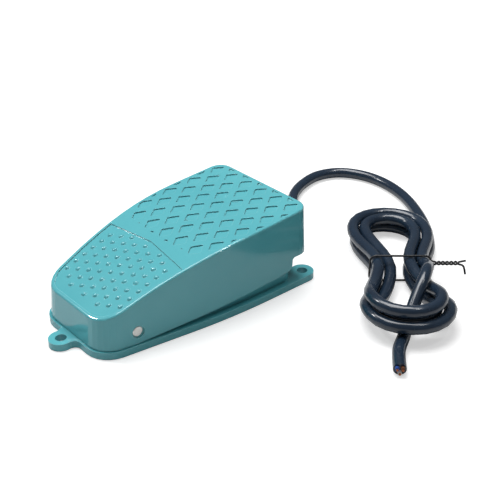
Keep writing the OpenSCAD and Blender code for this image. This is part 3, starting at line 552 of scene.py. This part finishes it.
class Slot(Enum):
    """The record's material slots, and the copper that only the cut end shows."""

    ENAMEL = "casting_enamel"
    BRIGHT = "bright_steel"
    ZINC = "zinc"
    SPRING = "spring_steel"
    PHENOLIC = "phenolic"
    LID = "lid_plastic"
    BUTTON = "button_plastic"
    BRASS = "contact_brass"
    TINNED = "tinned_brass"
    FIBRE = "fibre_sheet"
    BROWN = "core_brown"
    WHITE = "core_white"
    BLUE = "core_blue"
    RELIEF = "relief_rubber"
    SHEATH = "cord_sheath"
    TIE = "tie_wire"
    COPPER = "copper_strand"


@dataclass
class Wardrobe:
    """Every finish of the part, made once."""

    shared: SharedEffects
    made: dict[Slot, bpy.types.Material] = field(default_factory=dict)

    def __post_init__(self) -> None:
        """Makes the material of each slot."""
        finishes = {
            Slot.ENAMEL: EnamelFinish(),
            Slot.BRIGHT: MetalFinish(rgba(244, 242, 238), rgba(226, 222, 216), roughness=0.34),
            Slot.ZINC: MetalFinish(rgba(196, 198, 200), rgba(158, 162, 166),
                                   roughness=0.32, lines=1000.0, stretch=0.6),
            Slot.SPRING: MetalFinish(rgba(150, 150, 150), rgba(104, 100, 96), roughness=0.3),
            Slot.PHENOLIC: MouldingFinish(rgba(52, 46, 42), rgba(38, 33, 30), roughness=0.5),
            Slot.LID: MouldingFinish(rgba(60, 54, 50), rgba(44, 40, 37), roughness=0.42),
            Slot.BUTTON: MouldingFinish(rgba(176, 44, 38), rgba(150, 34, 30),
                                        roughness=0.28, texture=600.0, relief=0.06, coat=0.3),
            Slot.BRASS: MetalFinish(rgba(212, 176, 104), rgba(168, 132, 74), roughness=0.26),
            Slot.TINNED: MetalFinish(rgba(206, 202, 190), rgba(178, 168, 146), roughness=0.34),
            Slot.FIBRE: MouldingFinish(rgba(176, 180, 170), rgba(150, 156, 148),
                                       roughness=0.75, texture=1600.0, relief=0.4),
            Slot.BROWN: self._insulation(rgba(112, 68, 42), rgba(92, 54, 34)),
            Slot.WHITE: self._insulation(rgba(226, 224, 218), rgba(206, 203, 194)),
            Slot.BLUE: self._insulation(rgba(46, 86, 168), rgba(34, 68, 146)),
            Slot.RELIEF: MouldingFinish(rgba(40, 43, 48), rgba(30, 32, 36),
                                        roughness=0.55, texture=800.0, relief=0.18),
            Slot.SHEATH: SheathFinish(),
            Slot.TIE: MouldingFinish(rgba(34, 35, 38), rgba(24, 25, 28),
                                     roughness=0.4, texture=700.0, relief=0.08, coat=0.2),
            Slot.COPPER: MetalFinish(rgba(204, 128, 88), rgba(160, 92, 62), roughness=0.28),
        }
        self.made = {slot: finish.make(slot.value, self.shared) for slot, finish in finishes.items()}

    @staticmethod
    def _insulation(colour: Colour, second: Colour) -> MouldingFinish:
        """The smooth finish of a core's insulation, in two close colours."""
        return MouldingFinish(colour, second, roughness=0.35, texture=500.0, relief=0.05, coat=0.2)

    def dress(self, piece: bpy.types.Object, slot: Slot) -> None:
        """Puts a finish on the whole of a piece or CAD node.

        Args:
            piece: the object to dress.
            slot: the finish.
        """
        piece.data.materials.clear()
        piece.data.materials.append(self.made[slot])
        LOG.info("dressed %s in %s", piece.name, slot.value)


# Studio


@dataclass(frozen=True)
class StudioCamera:
    """The camera at the photograph's viewpoint."""

    place: Point = (0.3607, -0.2555, 0.2831)
    right: Point = (0.65606, 0.75471, 0.0)
    up: Point = (-0.37735, 0.32803, 0.86603)
    lens: float = 68.37
    sensor: float = 36.0
    nearest: float = 0.01

    def build(self) -> bpy.types.Object:
        """Makes the camera and sets it on the scene.

        Returns:
            The camera.
        """
        data = bpy.data.cameras.new("studio_camera")
        data.lens = self.lens
        data.sensor_width = self.sensor
        data.clip_start = self.nearest
        camera = bpy.data.objects.new("studio_camera", data)
        right, up = Vector(self.right).normalized(), Vector(self.up).normalized()
        turn = Matrix((right, up, right.cross(up))).transposed().to_4x4()
        camera.matrix_world = Matrix.Translation(self.place) @ turn
        bpy.context.scene.collection.objects.link(camera)
        bpy.context.scene.camera = camera
        return camera


@dataclass(frozen=True)
class Lamp:
    """One soft rectangular lamp, aimed at the object."""

    name: str
    azimuth: float
    elevation: float
    power: float
    width: float
    height: float
    distance: float = 1.0
    aim: Point = (0.0, 0.0, 0.03)

    def build(self) -> bpy.types.Object:
        """Makes the lamp on its place round the object.

        Returns:
            The lamp.
        """
        data = bpy.data.lights.new(self.name, "AREA")
        data.shape = "RECTANGLE"
        data.size, data.size_y = self.width, self.height
        data.energy = self.power
        lamp = bpy.data.objects.new(self.name, data)
        a, e = math.radians(self.azimuth), math.radians(self.elevation)
        away = Vector((math.sin(a) * math.cos(e), -math.cos(a) * math.cos(e), math.sin(e)))
        lamp.location = Vector(self.aim) + away * self.distance
        lamp.rotation_mode = "QUATERNION"
        lamp.rotation_quaternion = (-away).to_track_quat("-Z", "Y")
        bpy.context.scene.collection.objects.link(lamp)
        return lamp


@dataclass
class Studio:
    """White floor, white surroundings and soft lamps.

    The floor glows for the camera alone, from near_glow up to white between the near and far distances.
    """

    ambient: float = 0.12
    floor_size: float = 6.0
    floor_squares: int = 8
    floor_height: float = -0.0002
    floor_shades: tuple[float, float] = (0.64, 0.66)
    floor_grain: float = 3.0
    floor_roughness: float = 0.9
    floor_specular: float = 0.1
    near_glow: float = 0.52
    near: float = 0.35
    far: float = 1.0
    lamps: tuple[Lamp, ...] = (
        Lamp("overhead", azimuth=-110.0, elevation=76.0, power=13.6, width=0.9, height=0.7, distance=1.1),
        Lamp("front_left", azimuth=-62.0, elevation=42.0, power=2.5, width=0.11, height=0.11, distance=1.1),
        Lamp("crease", azimuth=124.0, elevation=66.0, power=1.3, width=0.14, height=0.08, distance=1.2),
    )

    def build(self) -> None:
        """Makes the world, the floor and the lamps."""
        self._world()
        self._floor()
        for lamp in self.lamps:
            lamp.build()
        bpy.context.scene.view_settings.view_transform = "Standard"

    def _world(self) -> None:
        """White to the camera and through clear pieces, and dim as light and in reflections."""
        world = bpy.data.worlds.new("studio_world")
        world.use_nodes = True
        tree = Tree(world.node_tree)
        shade = next(n for n in world.node_tree.nodes if n.type == "BACKGROUND")
        path = tree.node("LightPath")
        seen = tree.math("MAXIMUM", path.outputs["Is Camera Ray"], path.outputs["Is Transmission Ray"])
        tree.feed(shade, Color=WHITE, Strength=tree.span(seen, 0.0, 1.0, self.ambient, 1.0))
        bpy.context.scene.world = world

    def _floor(self) -> None:
        """A wide white sheet under the object."""
        bpy.ops.object.select_all(action="DESELECT")
        bpy.ops.mesh.primitive_grid_add(x_subdivisions=self.floor_squares, y_subdivisions=self.floor_squares,
                                        size=self.floor_size, location=(0, 0, self.floor_height))
        floor = bpy.context.object
        floor.name = "studio_floor"
        apply_place(floor)
        material, tree, shader = new_material("studio_floor")
        place = tree.node("TexCoord").outputs["Object"]
        grain = tree.node("TexNoise", Scale=self.floor_grain, Detail=2.0, Vector=place)
        dark, light = ((shade, shade, shade, 1.0) for shade in self.floor_shades)
        away = tree.node("VectorMath", operation="LENGTH")
        tree.link(place, away.inputs[0])
        glow = tree.span(away.outputs["Value"], self.near, self.far, self.near_glow, 1.0)
        seen = tree.node("LightPath").outputs["Is Camera Ray"]
        tree.feed(shader, Roughness=self.floor_roughness, Specular_IOR_Level=self.floor_specular,
                  Base_Color=tree.blend(tree.span(grain.outputs["Fac"], NOISE_LOW, NOISE_HIGH), dark, light),
                  Emission_Color=WHITE, Emission_Strength=tree.math("MULTIPLY", seen, glow))
        floor.data.materials.append(material)


# Modelling helpers


def select_alone(piece: bpy.types.Object) -> None:
    """Selects one piece, makes it the active one and deselects the rest.

    Args:
        piece: the piece to select.
    """
    bpy.ops.object.select_all(action="DESELECT")
    piece.select_set(True)
    bpy.context.view_layer.objects.active = piece


def apply_place(piece: bpy.types.Object) -> None:
    """Moves a piece's place, turn and scale into its mesh."""
    select_alone(piece)
    bpy.ops.object.transform_apply(location=True, rotation=True, scale=True)


def close_up(smooth_angle: float) -> None:
    """Merges the active mesh's doubles, turns its faces outwards and smooths it.

    Args:
        smooth_angle: the sharpest edge that is smoothed, in degrees.
    """
    bpy.ops.object.mode_set(mode="EDIT")
    bpy.ops.mesh.select_all(action="SELECT")
    bpy.ops.mesh.remove_doubles(threshold=MERGE_DISTANCE)
    bpy.ops.mesh.normals_make_consistent(inside=False)
    bpy.ops.object.mode_set(mode="OBJECT")
    bpy.ops.object.shade_smooth_by_angle(angle=math.radians(smooth_angle))


def tube(name: str, points: list[Vector], radius: float, resolution: int) -> bpy.types.Object:
    """Makes a round tube as a curve of one open spline.

    Args:
        name: the piece's name.
        points: the points that its middle follows.
        radius: its radius.
        resolution: the curve's bevel resolution.

    Returns:
        The curve.
    """
    data = bpy.data.curves.new(name, "CURVE")
    data.dimensions = "3D"
    data.bevel_depth = radius
    data.bevel_resolution = resolution
    data.use_fill_caps = True
    spline = data.splines.new("POLY")
    spline.points.add(len(points) - 1)
    for target, point in zip(spline.points, points):
        target.co = (*point, 1.0)
    spline.use_smooth = True
    piece = bpy.data.objects.new(name, data)
    bpy.context.scene.collection.objects.link(piece)
    return piece


def as_mesh(piece: bpy.types.Object) -> bpy.types.Object:
    """Turns a curve into a mesh, its doubles merged and its faces outwards.

    Args:
        piece: the curve.

    Returns:
        The mesh piece.
    """
    select_alone(piece)
    bpy.ops.object.convert(target="MESH")
    close_up(SMOOTH_ANGLE)
    return bpy.context.object


def turned(name: str, middle: tuple[float, float], profile: list[tuple[float, float]],
           sides: int, smooth_angle: float) -> bpy.types.Object:
    """Makes a turned piece along Y from a ring that is drawn out and resized step by step.

    Args:
        name: the piece's name.
        middle: the X and Z of its middle line, in millimetres.
        profile: places along Y and radii, in millimetres.
        sides: how many sides the ring has.
        smooth_angle: the sharpest edge that is smoothed, in degrees.

    Returns:
        The piece.
    """
    bpy.ops.object.select_all(action="DESELECT")
    y, radius = profile[0]
    centre = Vector((middle[0], y, middle[1])) * MM
    bpy.ops.mesh.primitive_circle_add(vertices=sides, radius=radius * MM, location=centre,
                                      rotation=(math.pi / 2, 0, 0))
    piece = bpy.context.object
    piece.name = name
    apply_place(piece)
    bpy.ops.object.mode_set(mode="EDIT")
    bpy.ops.mesh.select_all(action="SELECT")
    for next_y, next_radius in profile[1:]:
        bpy.ops.mesh.extrude_region_move(TRANSFORM_OT_translate={"value": (0, (next_y - y) * MM, 0)})
        around = (middle[0] * MM, next_y * MM, middle[1] * MM)
        scale = next_radius / radius
        bpy.ops.transform.resize(value=(scale, 1, scale), center_override=around)
        y, radius = next_y, next_radius
    bpy.ops.object.mode_set(mode="OBJECT")
    close_up(smooth_angle)
    return piece


def smooth_step(value: float) -> float:
    """A rise from 0 to 1 with level ends."""
    share = min(1.0, max(0.0, value))
    return share * share * (3 - 2 * share)


def spline_through(points: list[Vector], steps: int) -> list[Vector]:
    """A smooth line through points, by the same formula as the part's source.

    Args:
        points: the points to pass.
        steps: the steps from each point to the next.

    Returns:
        The line's points.
    """
    line = []
    last = len(points) - 1
    for i in range(last):
        a, b, c, d = points[max(i - 1, 0)], points[i], points[i + 1], points[min(i + 2, last)]
        for k in range(steps):
            t = k / steps
            square = (2 * a - 5 * b + 4 * c - d) * t * t
            cube = (3 * b - a - 3 * c + d) * t * t * t
            line.append((2 * b + (c - a) * t + square + cube) / 2)
    line.append(points[last].copy())
    return line


# The cord and its hank


@dataclass
class Hank:
    """Loops of cord drawn in at the waist, as the source's formula gives them, in millimetres."""

    centre: tuple[float, float] = (71.0, 105.0)
    angle: float = -41.3
    turns: int = 3
    step: float = 7.3
    layer: float = 7.3
    half_length: float = 64.0
    half_width: float = 24.0
    pinch: float = 9.5
    square_share: float = -0.09
    first_angle: float = 90.0
    waist_lift: float = 1.6
    tail_lift: float = 7.4
    tail_lift_start: float = 0.25
    lift_steepness: float = 2.0
    layer_change: float = 90.0
    rings: int = 48

    def place(self, along: float, across: float, height: float) -> Vector:
        """A point on the hank in the part's frame, in millimetres.

        Args:
            along: how far along the hank, towards its tail end.
            across: how far across it, to the left of that.
            height: how high above the floor.

        Returns:
            The point.
        """
        a = math.radians(self.angle)
        u, v = Vector((math.cos(a), math.sin(a), 0)), Vector((-math.sin(a), math.cos(a), 0))
        return Vector((self.centre[0], self.centre[1], height)) + u * along + v * across

    def lobe(self, angle: float) -> Vector:
        """The outermost loop's line at an angle.

        Args:
            angle: the angle round the loop, in degrees.

        Returns:
            The place along and across the hank, in millimetres.
        """
        t = math.radians(angle)
        wave = math.cos(t) - self.square_share * math.cos(3 * t)
        along = -self.half_length * wave / (1 - self.square_share)
        return Vector((along, self.half_width * math.sin(t) + self.pinch * math.sin(3 * t)))

    def lift(self, along: float) -> float:
        """How far the loops ride up over the tie and over the tail.

        Args:
            along: the place along the hank, in millimetres.

        Returns:
            The lift, in millimetres.
        """
        share = along / self.half_length
        waist = self.waist_lift * (1 - smooth_step(abs(share) * self.lift_steepness))
        return waist + self.tail_lift * smooth_step((share - self.tail_lift_start) * self.lift_steepness)

    def point(self, swept: float) -> Vector:
        """The cord's middle line after so many degrees of winding.

        Args:
            swept: the degrees wound so far.

        Returns:
            The point, in millimetres.
        """
        half = self.turns * 180.0
        angle = self.first_angle + swept
        turns_in = (half - abs(swept - half)) / 360
        heading = (self.lobe(angle + 1) - self.lobe(angle - 1)).normalized()
        inward = Vector((heading.y, -heading.x))
        flat = self.lobe(angle) + inward * self.step * turns_in
        upper = smooth_step((swept - half) / self.layer_change + 0.5)
        return self.place(flat.x, flat.y, CORD_RADIUS + self.layer * upper + self.lift(flat.x))

    def line(self) -> list[Vector]:
        """The whole hank's line, from its first loop to its last."""
        return [self.point(i * 360 / self.rings) for i in range(self.turns * self.rings + 1)]


@dataclass
class FootSwitchCord:
    """The cord from the strain relief to its cut end, in millimetres."""

    hank: Hank = field(default_factory=Hank)
    exit: Point = (-18.0, 81.85, 10.2)
    lead: tuple[Point, ...] = (
        (-18, 88, 10.2), (-18, 96, 9.6), (-20, 105, 6.6), (-25, 114, 4.2), (-32, 122, CORD_RADIUS),
        (-41, 132, CORD_RADIUS), (-48, 146, CORD_RADIUS), (-51, 163, CORD_RADIUS), (-45, 178, CORD_RADIUS),
        (-31, 187, CORD_RADIUS), (-13, 189, CORD_RADIUS), (8, 184, CORD_RADIUS), (29, 173, CORD_RADIUS),
        (47, 160, CORD_RADIUS),
    )
    lead_steps: int = 6
    join_angles: tuple[float, ...] = (-40.0, -26.0, -13.0)
    tail: tuple[Point, ...] = (
        (8.5, 15.5, 15), (19, 13, 19.3), (28, 10, 18.7), (36.5, 5.5, 13.2), (48, 0, 5), (59, -3.5, 3.7),
        (71, -7.5, CORD_RADIUS), (86, -9, CORD_RADIUS),
    )
    tail_steps: int = 8
    cut_cores: tuple[tuple[float, Slot], ...] = ((90.0, Slot.WHITE), (210.0, Slot.BLUE), (330.0, Slot.BROWN))
    core_radius: float = 1.1
    core_ring: float = 1.6
    core_reach: float = 2.5
    core_share: float = 0.7
    outer_strands: int = 6
    strand_radius: float = 0.2
    strand_ring: float = 0.42

    def line(self) -> list[Vector]:
        """The whole cord's middle line.

        Returns:
            Its points, in millimetres.
        """
        hank = self.hank.line()
        join = [self.hank.point(angle) for angle in self.join_angles]
        lead_route = [Vector(self.exit)] + [Vector(p) for p in self.lead] + join + [hank[0]]
        lead = spline_through(lead_route, self.lead_steps)
        tail = spline_through([hank[-1]] + [self.hank.place(*p) for p in self.tail], self.tail_steps)
        return lead[:-1] + hank + tail[1:]

    def build(self, wardrobe: Wardrobe, on_cord: list[bpy.types.Object]) -> None:
        """Args:
            wardrobe: the finishes.
            on_cord: the pieces already made that sit on the cord; not used.
        """
        line = [p * MM for p in self.line()]
        cord = tube("cord", line, CORD_RADIUS * MM, resolution=6)
        cores = self._cut_end(line[-1], (line[-1] - line[-2]).normalized(), wardrobe)
        wardrobe.dress(cord, Slot.SHEATH)
        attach(cord, "base")
        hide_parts("cord_lead", "cord_hank", "cord_tail")

    def _cut_end(self, end: Vector, heading: Vector, wardrobe: Wardrobe) -> list[bpy.types.Object]:
        """Makes the three cores and their copper strands at the cut end.

        Args:
            end: the middle of the cut face.
            heading: the way the cord points there.
            wardrobe: the finishes.

        Returns:
            The pieces on the cord's end.
        """
        side = Vector((-heading.y, heading.x, 0)).normalized()
        rise = heading.cross(side)
        pieces = []
        reach = heading * self.core_reach * MM
        for number, (angle, slot) in enumerate(self.cut_cores, start=1):
            a = math.radians(angle)
            centre = end + (side * math.cos(a) - rise * math.sin(a)) * self.core_ring * MM
            line = [centre - reach, centre, centre + reach * self.core_share]
            core = as_mesh(tube(f"end_core_{number}", line, self.core_radius * MM, resolution=4))
            wardrobe.dress(core, slot)
            pieces += [core, self._strands(f"end_strands_{number}", centre, reach, (side, rise), wardrobe)]
        for piece in pieces:
            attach(piece, "base")
        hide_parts("cord_end_cores")
        return pieces

    def _strands(self, name: str, centre: Vector, reach: Vector, across: tuple[Vector, Vector],
                 wardrobe: Wardrobe) -> bpy.types.Object:
        """Makes the copper strands of one core as one piece, a ring of them round a middle one.

        Args:
            name: the piece's name.
            centre: the core's middle at the cut face.
            reach: the way out and how far the strands reach.
            across: the two directions across the cord.
            wardrobe: the finishes.

        Returns:
            The strands.
        """
        side, rise = across
        made = []
        for k in range(self.outer_strands + 1):
            a = math.radians(360 * k / self.outer_strands)
            ring = 0.0 if k == self.outer_strands else self.strand_ring * MM
            foot = centre + (side * math.cos(a) + rise * math.sin(a)) * ring
            strand = tube(f"{name}_{k}", [foot, foot + reach], self.strand_radius * MM, resolution=1)
            made.append(as_mesh(strand))
        select_alone(made[0])
        for piece in made:
            piece.select_set(True)
        bpy.ops.object.join()
        made[0].name = name
        # The record has no slot for copper, so the strands take a copper finish of their own
        wardrobe.dress(made[0], Slot.COPPER)
        return made[0]


@dataclass
class TwistTie:
    """The coated wire round the hank's waist, its two ends twisted together, in millimetres."""

    hank: Hank = field(default_factory=Hank)
    wire_radius: float = 0.6
    slack: float = 0.25
    corner: float = 3.5
    twist_height: float = 12.0
    twist_radius: float = 0.75
    twist_length: float = 14.0
    twist_turns: float = 3.0
    twist_steps: int = 60
    corner_steps: int = 8
    hook_steps: int = 6
    first_tip: Point = (2.0, 3.0, 2.0)
    second_tips: tuple[Point, ...] = ((-1.0, 3.0, -2.0), (1.0, 4.0, -6.0))

    def _strand(self, start_angle: float, side: float) -> list[Vector]:
        """One wire of the twisted end, from the loop outwards.

        Args:
            start_angle: where the wire starts round the twist, in degrees.
            side: how far across the hank the loop reaches there, in millimetres.

        Returns:
            The wire's points, along, across and up, in millimetres.
        """
        line = []
        for i in range(self.twist_steps + 1):
            share = i / self.twist_steps
            a = math.radians(start_angle + 360 * self.twist_turns * share)
            out = side + self.corner / 2 + self.twist_length * share
            height = self.twist_height + self.twist_radius * math.sin(a)
            line.append(Vector((self.twist_radius * math.cos(a), out, height)))
        return line

    def _loop(self, left: float, right: float, low: float, high: float) -> list[Vector]:
        """The wire round the strands, a rounded box seen along the hank.

        Args:
            left: the box's reach to one side, in millimetres.
            right: its reach to the other side.
            low: its lower height.
            high: its upper height.

        Returns:
            The wire's points, along, across and up, in millimetres.
        """
        line = []
        corners = ((right, high, 0), (-left, high, 90), (-left, low, 180), (right, low, 270))
        for across, height, start in corners:
            middle_x = across - math.copysign(self.corner, across)
            middle_z = height + (self.corner if height == low else -self.corner)
            for k in range(self.corner_steps + 1):
                a = math.radians(start + 90 * k / self.corner_steps)
                place = (0, middle_x + self.corner * math.cos(a), middle_z + self.corner * math.sin(a))
                line.append(Vector(place))
        return line

    def build(self, wardrobe: Wardrobe) -> bpy.types.Object:
        """Makes the tie.

        Args:
            wardrobe: the finishes.

        Returns:
            The tie.
        """
        side = self.hank.half_width - self.hank.pinch
        reach = CORD_RADIUS + self.wire_radius + self.slack
        right, left = side + reach, side - self.hank.step / 2 + reach
        low = self.hank.waist_lift - self.wire_radius - self.slack
        high = self.hank.waist_lift + 2 * CORD_RADIUS + self.hank.layer + self.wire_radius + self.slack
        first, second = self._strand(90, right), self._strand(270, right)
        tip = first[-1] + Vector(self.first_tip)
        hooks = [second[-1] + Vector(t) for t in self.second_tips]
        ends = spline_through([second[-1]] + hooks, self.hook_steps)
        line = [tip] + first[::-1] + [Vector((0, right, self.twist_height + self.corner / 2))]
        line += self._loop(left, right, low, high)
        line += [Vector((0, right, self.twist_height - self.corner / 2))] + second + ends[1:]
        placed = [self.hank.place(*p) * MM for p in line]
        piece = as_mesh(tube("tie_wire", placed, self.wire_radius * MM, resolution=4))
        wardrobe.dress(piece, Slot.TIE)
        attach(piece, "base")
        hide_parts("twist_tie")
        return piece


@dataclass(frozen=True)
class BendRelief:
    """The ribbed rubber relief in the rear wall and the cord's end inside it, in millimetres."""

    middle: tuple[float, float] = (-18.0, 10.2)
    inner_end: float = 46.0
    inside: float = 56.25
    wall_inner: float = 57.75
    wall_outer: float = 59.85
    tip: float = 81.85
    collar: float = 5.8
    collar_length: float = 1.5
    neck: float = 4.25
    root: float = 5.0
    end: float = 4.2
    bore: float = 3.45
    collar_ease: float = 0.3
    lip_ease: float = 0.4
    ribs: int = 7
    groove: float = 0.7
    groove_start: float = 0.25
    groove_share: float = 0.4
    rib_shoulder: float = 0.15
    rib_ease: float = 0.2
    sides: int = 40
    smooth_angle: float = 35.0

    def _profile(self) -> list[tuple[float, float]]:
        """The relief's turned shape, from the inner collar to the tip.

        Returns:
            Places along the cord and radii, in millimetres.
        """
        start = self.wall_outer + self.collar_length
        line = [(self.inside, self.bore), (self.inside, self.collar - self.collar_ease),
                (self.inside + self.collar_ease, self.collar), (self.wall_inner, self.collar),
                (self.wall_inner, self.neck), (self.wall_outer, self.neck), (self.wall_outer, self.collar),
                (start - self.lip_ease, self.collar), (start, self.collar - self.lip_ease)]
        pitch = (self.tip - start) / self.ribs
        for i in range(self.ribs):
            y = start + i * pitch
            r = self.root + (self.end - self.root) * i / (self.ribs - 1)
            dip = y + pitch * self.groove_share
            line += [(y + self.groove_start, r - self.groove), (dip, r - self.groove),
                     (dip + self.rib_ease, r - self.rib_shoulder), (dip + 2 * self.rib_ease, r),
                     (y + pitch - self.rib_ease, r), (y + pitch, r - self.rib_ease)]
        line += [(self.tip, self.bore)]
        return line

    def build(self, wardrobe: Wardrobe) -> list[bpy.types.Object]:
        """Makes the relief and the cord's inner end.

        Args:
            wardrobe: the finishes.

        Returns:
            The two pieces.
        """
        x, z = self.middle
        relief = turned("bend_relief", self.middle, self._profile(), self.sides, self.smooth_angle)
        wardrobe.dress(relief, Slot.RELIEF)
        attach(relief, "base")
        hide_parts("strain_relief")
        line = [Vector((x, y, z)) * MM for y in (self.inner_end, self.inside, self.wall_outer, self.tip)]
        inner = as_mesh(tube("cord_inside", line, CORD_RADIUS * MM, resolution=6))
        wardrobe.dress(inner, Slot.SHEATH)
        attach(inner, "base")
        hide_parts("cord_inner_end")
        return [relief, inner]


@dataclass(frozen=True)
class Wiring:
    """The three insulated cores inside the base, in millimetres."""

    start: Point = (-18.0, 45.95, 10.2)
    ring: float = 1.6
    radius: float = 1.1
    bend: float = 8.0
    barrel_start: float = -8.4
    tab_edge: float = -4.6
    level: float = 9.0
    steps: int = 20
    cores: tuple[tuple[str, float, float, Slot], ...] = (
        ("common_core", 210.0, -11.0, Slot.BROWN),
        ("open_core", 90.0, 18.2, Slot.BLUE),
        ("closed_core", 330.0, 31.0, Slot.WHITE),
    )

    def build(self, wardrobe: Wardrobe) -> None:
        """Makes each core from the cord's end to its connector.

        Args:
            wardrobe: the finishes.
        """
        for name, angle, tab, slot in self.cores:
            a = math.radians(angle)
            x = self.start[0] + self.ring * math.cos(a)
            z = self.start[2] + self.ring * math.sin(a)
            reach = self.barrel_start - self.radius - x
            line = [Vector((x, self.start[1], z))]
            for i in range(self.steps + 1):
                b = math.pi / 2 * i / self.steps
                height = z + (self.level - z) * (1 - math.cos(2 * b)) / 2
                bent = (x + reach * (1 - math.cos(b)), tab + self.bend * (1 - math.sin(b)), height)
                line.append(Vector(bent))
            line.append(Vector((self.tab_edge, tab, self.level)))
            placed = [p * MM for p in line]
            piece = as_mesh(tube(name.replace("core", "wire"), placed, self.radius * MM, resolution=4))
            wardrobe.dress(piece, slot)
            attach(piece, "base")
            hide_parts(name)


@dataclass(frozen=True)
class ReturnSpring:
    """The wound spring between the base and the pedal, in millimetres."""

    middle: tuple[float, float] = (0.0, 50.0)
    low: float = 3.0
    high: float = 32.0
    coil_radius: float = 5.75
    wire_radius: float = 0.75
    turns: int = 7
    closed_share: float = 1.06
    steps: int = 30

    def build(self, wardrobe: Wardrobe) -> None:
        """Makes the spring.

        Args:
            wardrobe: the finishes.
        """
        wire = 2 * self.wire_radius * self.closed_share
        rise = self.high - self.low - 2 * self.wire_radius - 2 * wire
        line = []
        for i in range(self.turns * self.steps + 1):
            t = i / self.steps
            if t < 1:
                height = t * wire
            elif t > self.turns - 1:
                height = rise + wire * (t - self.turns + 2)
            else:
                height = wire + rise * (t - 1) / (self.turns - 2)
            a = 2 * math.pi * t
            x = self.middle[0] + self.coil_radius * math.cos(a)
            y = self.middle[1] + self.coil_radius * math.sin(a)
            line.append(Vector((x, y, self.low + self.wire_radius + height)) * MM)
        piece = as_mesh(tube("spring_wire", line, self.wire_radius * MM, resolution=3))
        wardrobe.dress(piece, Slot.SPRING)
        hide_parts("return_spring")
        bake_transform(piece)


class Housing:
    """The castings, the hinge, the switch and the screws, as the frame holds them."""

    def build(self, frame: dict, wardrobe: Wardrobe) -> None:
        """Dresses every node by the record's slots.

        Args:
            wardrobe: the finishes.
        """
        slots = {s["node"]: s["material_slot"] for s in frame["record"]["subparts"]}
        for name, node in frame["nodes"].items():
            wardrobe.dress(node, Slot(slots[name]))


def main() -> None:
    """Builds the studio, the cord and the looks of every node."""
    logging.basicConfig(level=logging.INFO, format="%(name)s: %(message)s")
    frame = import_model()
    StudioCamera().build()
    wardrobe = Wardrobe(SharedEffects())
    on_cord = [TwistTie().build(wardrobe)] + BendRelief().build(wardrobe)
    FootSwitchCord().build(wardrobe, on_cord)
    Wiring().build(wardrobe)
    ReturnSpring().build(wardrobe)
    Housing().build(frame, wardrobe)
    Studio().build()
    bpy.context.view_layer.update()


if __name__ == "__main__":
    main()
